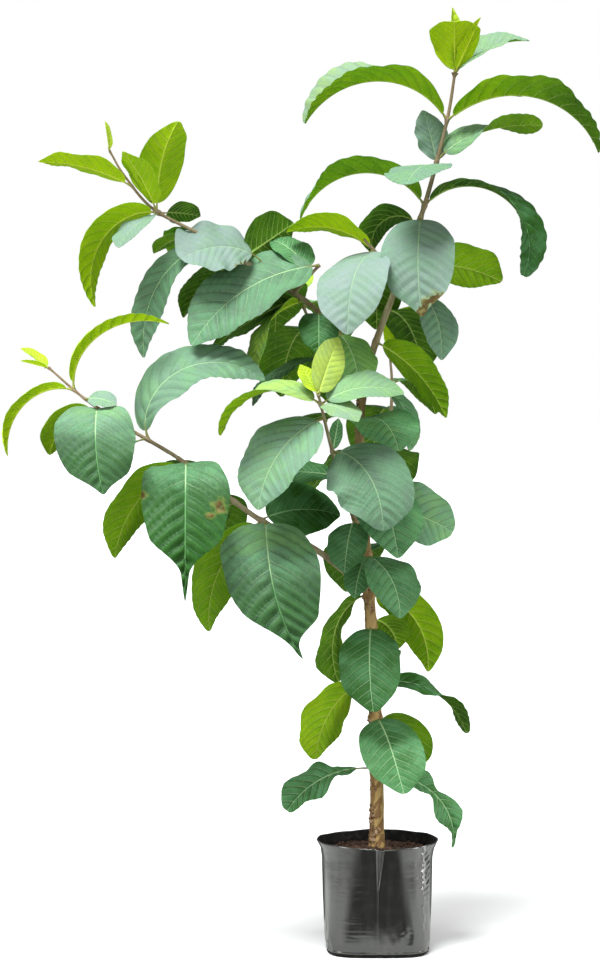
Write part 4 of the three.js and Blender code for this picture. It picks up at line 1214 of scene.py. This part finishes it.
def film_folds(height, turn, radius):
    """How far the film stands out (+) or in (-) from the plain bag, in millimetres."""
    rng = np.random.default_rng(5)
    x, y = radius * np.cos(turn), radius * np.sin(turn)
    around = radius * turn
    front = (y < 0).astype(float)

    def by_height(heights, strengths):
        return np.interp(height, heights, strengths)

    # The front pleat: a slope that is wide at the rim and runs out downwards, with a sharp lip.
    down = np.clip((BAG_HEIGHT - height) / PLEAT["length"], 0, 1)
    foot, lip = PLEAT["left"] + 1.4 * down, PLEAT["right"] - (PLEAT["right"] + 1.2) * down
    raised = PLEAT["slope"] * (np.clip(x, foot, lip) - foot) * (1 - np.clip((x - lip) / 1.2, 0, 1))
    crease = 0.14 * bell(x, -1.4, 0.7) * by_height([30, 55, 75], [0, 1, 0.6])
    # The sealed seam, and the film crinkled beside it.
    beside = x - seam_line(height)
    ridge = np.clip((beside + 2.4) / 2.4, 0, 1) - np.clip(beside / 2.2, 0, 1)
    crinkle = waves(rng, around * 1.3, height, 5.0, 6) * bell(beside, 3.5, 4.0)
    seam = (0.9 * ridge + 0.55 * crinkle) * by_height([30, 62, 74, 110], [0.25, 0.4, 1, 1])
    # Soft tucks below the rim, and level wrinkles in patches.
    tucks = 0.8 * waves(rng, around, height * 0.1, 34.0, 5) * by_height([0, 40, 110], [0.2, 0.5, 1.0])
    wrinkles = 0
    for right, up, wide, high, depth in LEVEL_WRINKLES:
        window = depth * bell(x, right, wide) * bell(height, up, high)
        winding = around * 0.45 + 2 * np.sin(height / 6)
        wrinkles = wrinkles + window * waves(rng, winding, height, 5.0, 6)
    # Crumpled folds at the squarish foot's corners, and the rolled hem.
    corner = bell(np.abs(np.cos(turn)), 0.87, 0.07)
    crumple = waves(rng, around, height, 7.0, 6) * corner * by_height([0, 5, 12, 20], [0.8, 1.7, 0.8, 0])
    sag = 0.7 * waves(rng, around, height, 21.0, 4) * by_height([0, 20, 40], [0.6, 0.6, 0])
    hem = 0.5 * bell(height, 4.2, 1.3)
    return (raised + crease + seam + wrinkles) * front + tucks + crumple + sag + hem - 0.5


def film_turns():
    """Directions round the bag from its back, closer together at the front pleat and at the seam."""
    fine = np.linspace(0.5 * np.pi, 2.5 * np.pi, 4000)
    front = 1.5 * np.pi
    seam = front + math.asin(SEAM_RIGHT / MOUTH_RADIUS)
    weight = 1 + 2.0 * bell(fine, front, 0.12) + 1.6 * bell(fine, seam, 0.16)
    share = np.concatenate([[0], np.cumsum(weight[:-1])])
    return np.interp(np.arange(BAG_TURNS) / BAG_TURNS * share[-1], share, fine)


def grow_bag():
    turn = film_turns()
    heights = np.concatenate([FOOT_ROWS, np.linspace(3.8, BAG_HEIGHT - 1.0, BAG_ROWS)])
    # The rim rises and dips a little.
    dip = 0.5 * np.sin(2 * turn + 0.6) + 0.3 * np.sin(5 * turn) + 0.25 * np.sin(11 * turn + 2)
    rings = []
    for height in heights:
        z = height + dip * np.interp(height, [75, BAG_HEIGHT], [0, 1]) ** 2
        z = np.maximum(z, 0) if height > 0 else 0
        level = np.full(BAG_TURNS, height)
        radius = bag_radius(level, turn)
        strength = np.interp(height, [0, 3], [0.35, 1.0])
        rings.append(ring_at(radius + film_folds(level, turn, radius) * strength, turn, z))
    outside = np.array(rings)
    outward = ring_at(1, turn, 0)
    edge = outside[-1] - outward * (FILM_THICK / 2) + (0, 0, 0.45)
    # Inside, rows lie as close as outside only where they show, above the soil.
    kept = [k for k in range(len(heights) - 1, 3, -1) if heights[k] > SOIL_TOP - 8 or k % 6 == 0]
    inside = (outside - outward * FILM_THICK)[kept]
    floor_ring = inside[-1] * (1, 1, 0) + (0, 0, FILM_THICK)
    shell = np.vstack([outside, edge[None], inside, floor_ring[None]])
    points = np.vstack([shell.reshape(-1, 3), [(0, 0, 0.0)], [(0, 0, FILM_THICK)]])
    left = np.arange(BAG_TURNS) / BAG_TURNS
    right = left + 1 / BAG_TURNS
    count = len(shell)
    uvs, slots = [], []

    def corners(*places):
        return np.stack([np.stack([u, 0 * left + v], 1) for u, v in places], 1).reshape(-1, 2)

    for k in range(count - 1):
        low, high = (0.02 + 0.96 * row / count for row in (k, k + 1))
        uvs.append(corners((left, low), (right, low), (right, high), (left, high)))
        # The inside and the hem take the darker film: painted shade, and a painted contact shadow.
        in_painted_shade = k > len(heights) or heights[min(k, len(heights) - 1)] < SHADED_HEM_HEIGHT
        slots += [int(in_painted_shade)] * BAG_TURNS
    for row in (0.0, 0.985):
        uvs.append(corners((right, row), (left, row), ((left + right) / 2, row + 0.012)))
        slots += [1] * BAG_TURNS
    heap = Heap()
    heap.add(points, stack_faces(count, BAG_TURNS), slots, np.vstack(uvs))
    bag = heap.build("bag_film", [FILM, PAINTED_SHADE_FILM])
    x, y, z = points.T
    sealed = bell(x - seam_line(z), 0.6, 0.75) * (y < -10)
    sealed *= np.interp(z, [18, 30, 66, 74], [0, 0.3, 0.3, 1])
    add_values(bag.data, "sealed", "FLOAT", sealed)
    dress(bag, "film", "grow_bag")


def inside_film(height, turn):
    """How far the soil reaches at a height: to just inside the film and its folds."""
    height = np.full(len(turn), float(height))
    radius = bag_radius(height, turn)
    return radius + film_folds(height, turn, radius) - FILM_THICK - SOIL_GAP


def soil_bed():
    """The soil's uneven top with a small mound at the trunk, and its plain sides down inside the bag."""
    turn = 2 * np.pi * np.arange(SOIL_TURNS) / SOIL_TURNS
    rings = []
    for share in np.linspace(0.02, 1, SOIL_ROWS):
        radius = share * inside_film(SOIL_TOP - 4, turn)
        x, y = radius * np.cos(turn), radius * np.sin(turn)
        rough = 0
        for seed, height, reach in SOIL_ROUGHNESS:
            rough = rough + height * waves(np.random.default_rng(seed), x, y, reach, 8)
        mound = 1.6 * bell(radius, 0, 15) - 3.0 * share**2
        rings.append(ring_at(radius, turn, SOIL_TOP - 1.2 + rough + mound))
    bed_reach = rings[-1][:, 0].max()
    for height in SOIL_SIDE_HEIGHTS:
        rings.append(ring_at(inside_film(height, turn) - 0.6, turn, height))
    points = np.vstack([*rings, [(0, 0, SOIL_TOP)], [(0, 0, SOIL_SIDE_HEIGHTS[-1])]])
    faces = stack_faces(len(rings), SOIL_TURNS, inward=True)
    mesh = bpy.data.meshes.new("soil_bed")
    mesh.from_pydata((points * MM).tolist(), [], faces)
    mesh.materials.append(SOIL)
    mesh.polygons.foreach_set("use_smooth", [True] * len(faces))
    x, y, z = points.T
    strewn = (z > SOIL_TOP - 8) & (np.hypot(x, y) < 0.94 * bed_reach)
    add_values(mesh, "bed", "FLOAT", strewn.astype(float))
    return dress(link("soil_bed", mesh), "soil", "soil")


def crumb_tree():
    """Small crumbs of soil, scattered on the bed and sunk a little into it."""
    tree, take, give = geometry_tree(
        "soil_crumbs",
        ("Density", "Float", 90000.0),
        ("Smallest", "Float", 0.0005),
        ("Largest", "Float", 0.0024),
        ("Seed", "Int", 21),
        ("Crumb", "Material"),
    )
    density = product(tree, take["Density"], named(tree, "bed"))
    points = scattered(tree, take["Geometry"], density, take["Seed"])
    ball = made(tree, "GeometryNodeMeshIcoSphere", {"Radius": 1.0, "Subdivisions": 2})
    here = made(tree, "GeometryNodeInputPosition")
    lumpy = product(tree, math_node(tree, "SUBTRACT", noise(tree, here, 1.3, 2.0), 0.5), 1.4)
    lump = moved(tree, ball, scaled(tree, here, lumpy))
    spin = chance_turn(tree, (0, 0, 0), (6.3, 6.3, 6.3), 31)
    mostly_small = math_node(tree, "POWER", chance(tree, 0.0, 1.0, 32), 3.0)
    size = spread(tree, mostly_small, 0.0, 1.0, take["Smallest"], take["Largest"], smooth=False)
    crumbs = copies(tree, points["Points"], lump, spin, size)
    feed(tree, give["Geometry"], in_material(tree, crumbs, take["Crumb"]))
    return tree


grow_bag()
bed = soil_bed()
crumbs = apply_tree(bed, crumb_tree(), {"Density": 100000.0, "Crumb": CRUMB}, "soil_crumbs")
dress(link("soil_crumbs", crumbs), "soil")

# ---- Stage, light and camera, in metres -------------------------------------------------------

FLOOR_REACH = 30.0
FLOOR_SEEN = (0.8, 0.8, 0.8, 1)
FLOOR_BOUNCE = (0.2, 0.2, 0.19, 1)
FLOOR_MIRRORED = {"bright": (0.62, 0.62, 0.6, 1), "dark": (0.05, 0.05, 0.045, 1)}
WEDGE_SIDES = (0.5, 1.25)  # sideways over depth, where the dark wedge ends and the bright floor begins
WEDGE_START = (0.095, 0.15)  # from the bag's middle


def stage_floor():
    """A wide white floor. What it throws back at the plant is held down, and what the glossy film
    mirrors of it is bright at the sides and dark in a wedge before and behind the bag."""
    material, tree = new_material("floor_paint", Roughness=0.9, Specular_IOR_Level=0.0)
    rays = put(tree, "ShaderNodeLightPath").outputs
    here = parts(tree, put(tree, "ShaderNodeTexCoord").outputs["Object"])
    sideways, depth = (math_node(tree, "ABSOLUTE", here[k]) for k in (0, 1))
    wedge = spread(tree, math_node(tree, "DIVIDE", sideways, depth), *WEDGE_SIDES, 1.0, 0.0)
    wedge = product(tree, wedge, spread(tree, depth, *WEDGE_START))
    far = spread(tree, added(tree, sideways, depth), 0.5, 0.9)
    mirrored = mix_colour(tree, wedge, FLOOR_MIRRORED["bright"], FLOOR_MIRRORED["dark"])
    mirrored = mix_colour(tree, far, mirrored, FLOOR_BOUNCE)
    unseen = mix_colour(tree, rays["Is Glossy Ray"], FLOOR_BOUNCE, mirrored)
    paint(tree, Base_Color=mix_colour(tree, rays["Is Camera Ray"], unseen, FLOOR_SEEN))
    mesh = bpy.data.meshes.new("floor")
    corners = [(FLOOR_REACH * x, FLOOR_REACH * y, 0) for x, y in ((-1, -1), (1, -1), (1, 1), (-1, 1))]
    mesh.from_pydata(corners, [], [(0, 1, 2, 3)])
    mesh.materials.append(material)
    link("floor", mesh)


def set_up(name, data, place, aim):
    """Puts a lamp or a camera at its place, looking at its aim."""
    holder = bpy.data.objects.new(name, data)
    holder.location = place
    holder.rotation_euler = (Vector(aim) - Vector(place)).to_track_quat("-Z", "Y").to_euler()
    bpy.context.scene.collection.objects.link(holder)
    return holder


def lamp(name, kind, place, aim, power, **settings):
    data = bpy.data.lights.new(name, kind)
    data.energy = power
    for key, value in settings.items():
        setattr(data, key, value)
    set_up(name, data, place, aim)


def softbox(name, place, aim, power, wide, high):
    lamp(name, "AREA", place, aim, power, shape="RECTANGLE", size=wide, size_y=high)


MIDDLE = (-0.08, 0, 0.45)
SKY_ANGLE, SKY_TINT = math.radians(28), (0.95, 1.0, 0.99)
stage_floor()
lamp("sky_softbox", "SUN", (-0.75, -0.85, 3.0), MIDDLE, 5.15, angle=SKY_ANGLE, color=SKY_TINT)
softbox("front_fill", (0.9, -3.2, 1.0), MIDDLE, 22, 2.0, 1.6)
softbox("left_strip", (-0.75, -0.42, 0.35), (-0.2, 0, 0.0), 3.0, 0.25, 0.7)
softbox("right_strip", (0.6, -0.16, 0.3), (0.06, 0, 0.02), 2.2, 0.12, 0.6)


def studio():
    """White behind the plant, and a softer grey, brighter overhead, for what lights it."""
    world = bpy.data.worlds.new("studio")
    world.use_nodes = True
    tree = world.node_tree
    upward = parts(tree, put(tree, "ShaderNodeTexCoord").outputs["Generated"])[2]
    grey = spread(tree, upward, -0.2, 0.9, 0.18, 0.66)
    soft = made(tree, "ShaderNodeCombineColor", {0: grey, 1: grey, 2: grey})
    seen = put(tree, "ShaderNodeLightPath").outputs["Is Camera Ray"]
    feed(tree, tree.nodes["Background"].inputs["Color"], mix_colour(tree, seen, soft, (1, 1, 1, 1)))
    bpy.context.scene.world = world


studio()
bpy.context.scene.view_settings.view_transform = "Standard"

FOCAL_PIXELS, FRAME_HEIGHT, SENSOR = 2400, 964, 36
CAMERA_PLACE, CAMERA_AIM = (-0.0775, -2.4, 0.535), (-0.0775, 0, 0.468)
camera_data = bpy.data.cameras.new("camera")
camera_data.lens = SENSOR * FOCAL_PIXELS / FRAME_HEIGHT
camera_data.sensor_width = SENSOR
bpy.context.scene.camera = set_up("camera", camera_data, CAMERA_PLACE, CAMERA_AIM)
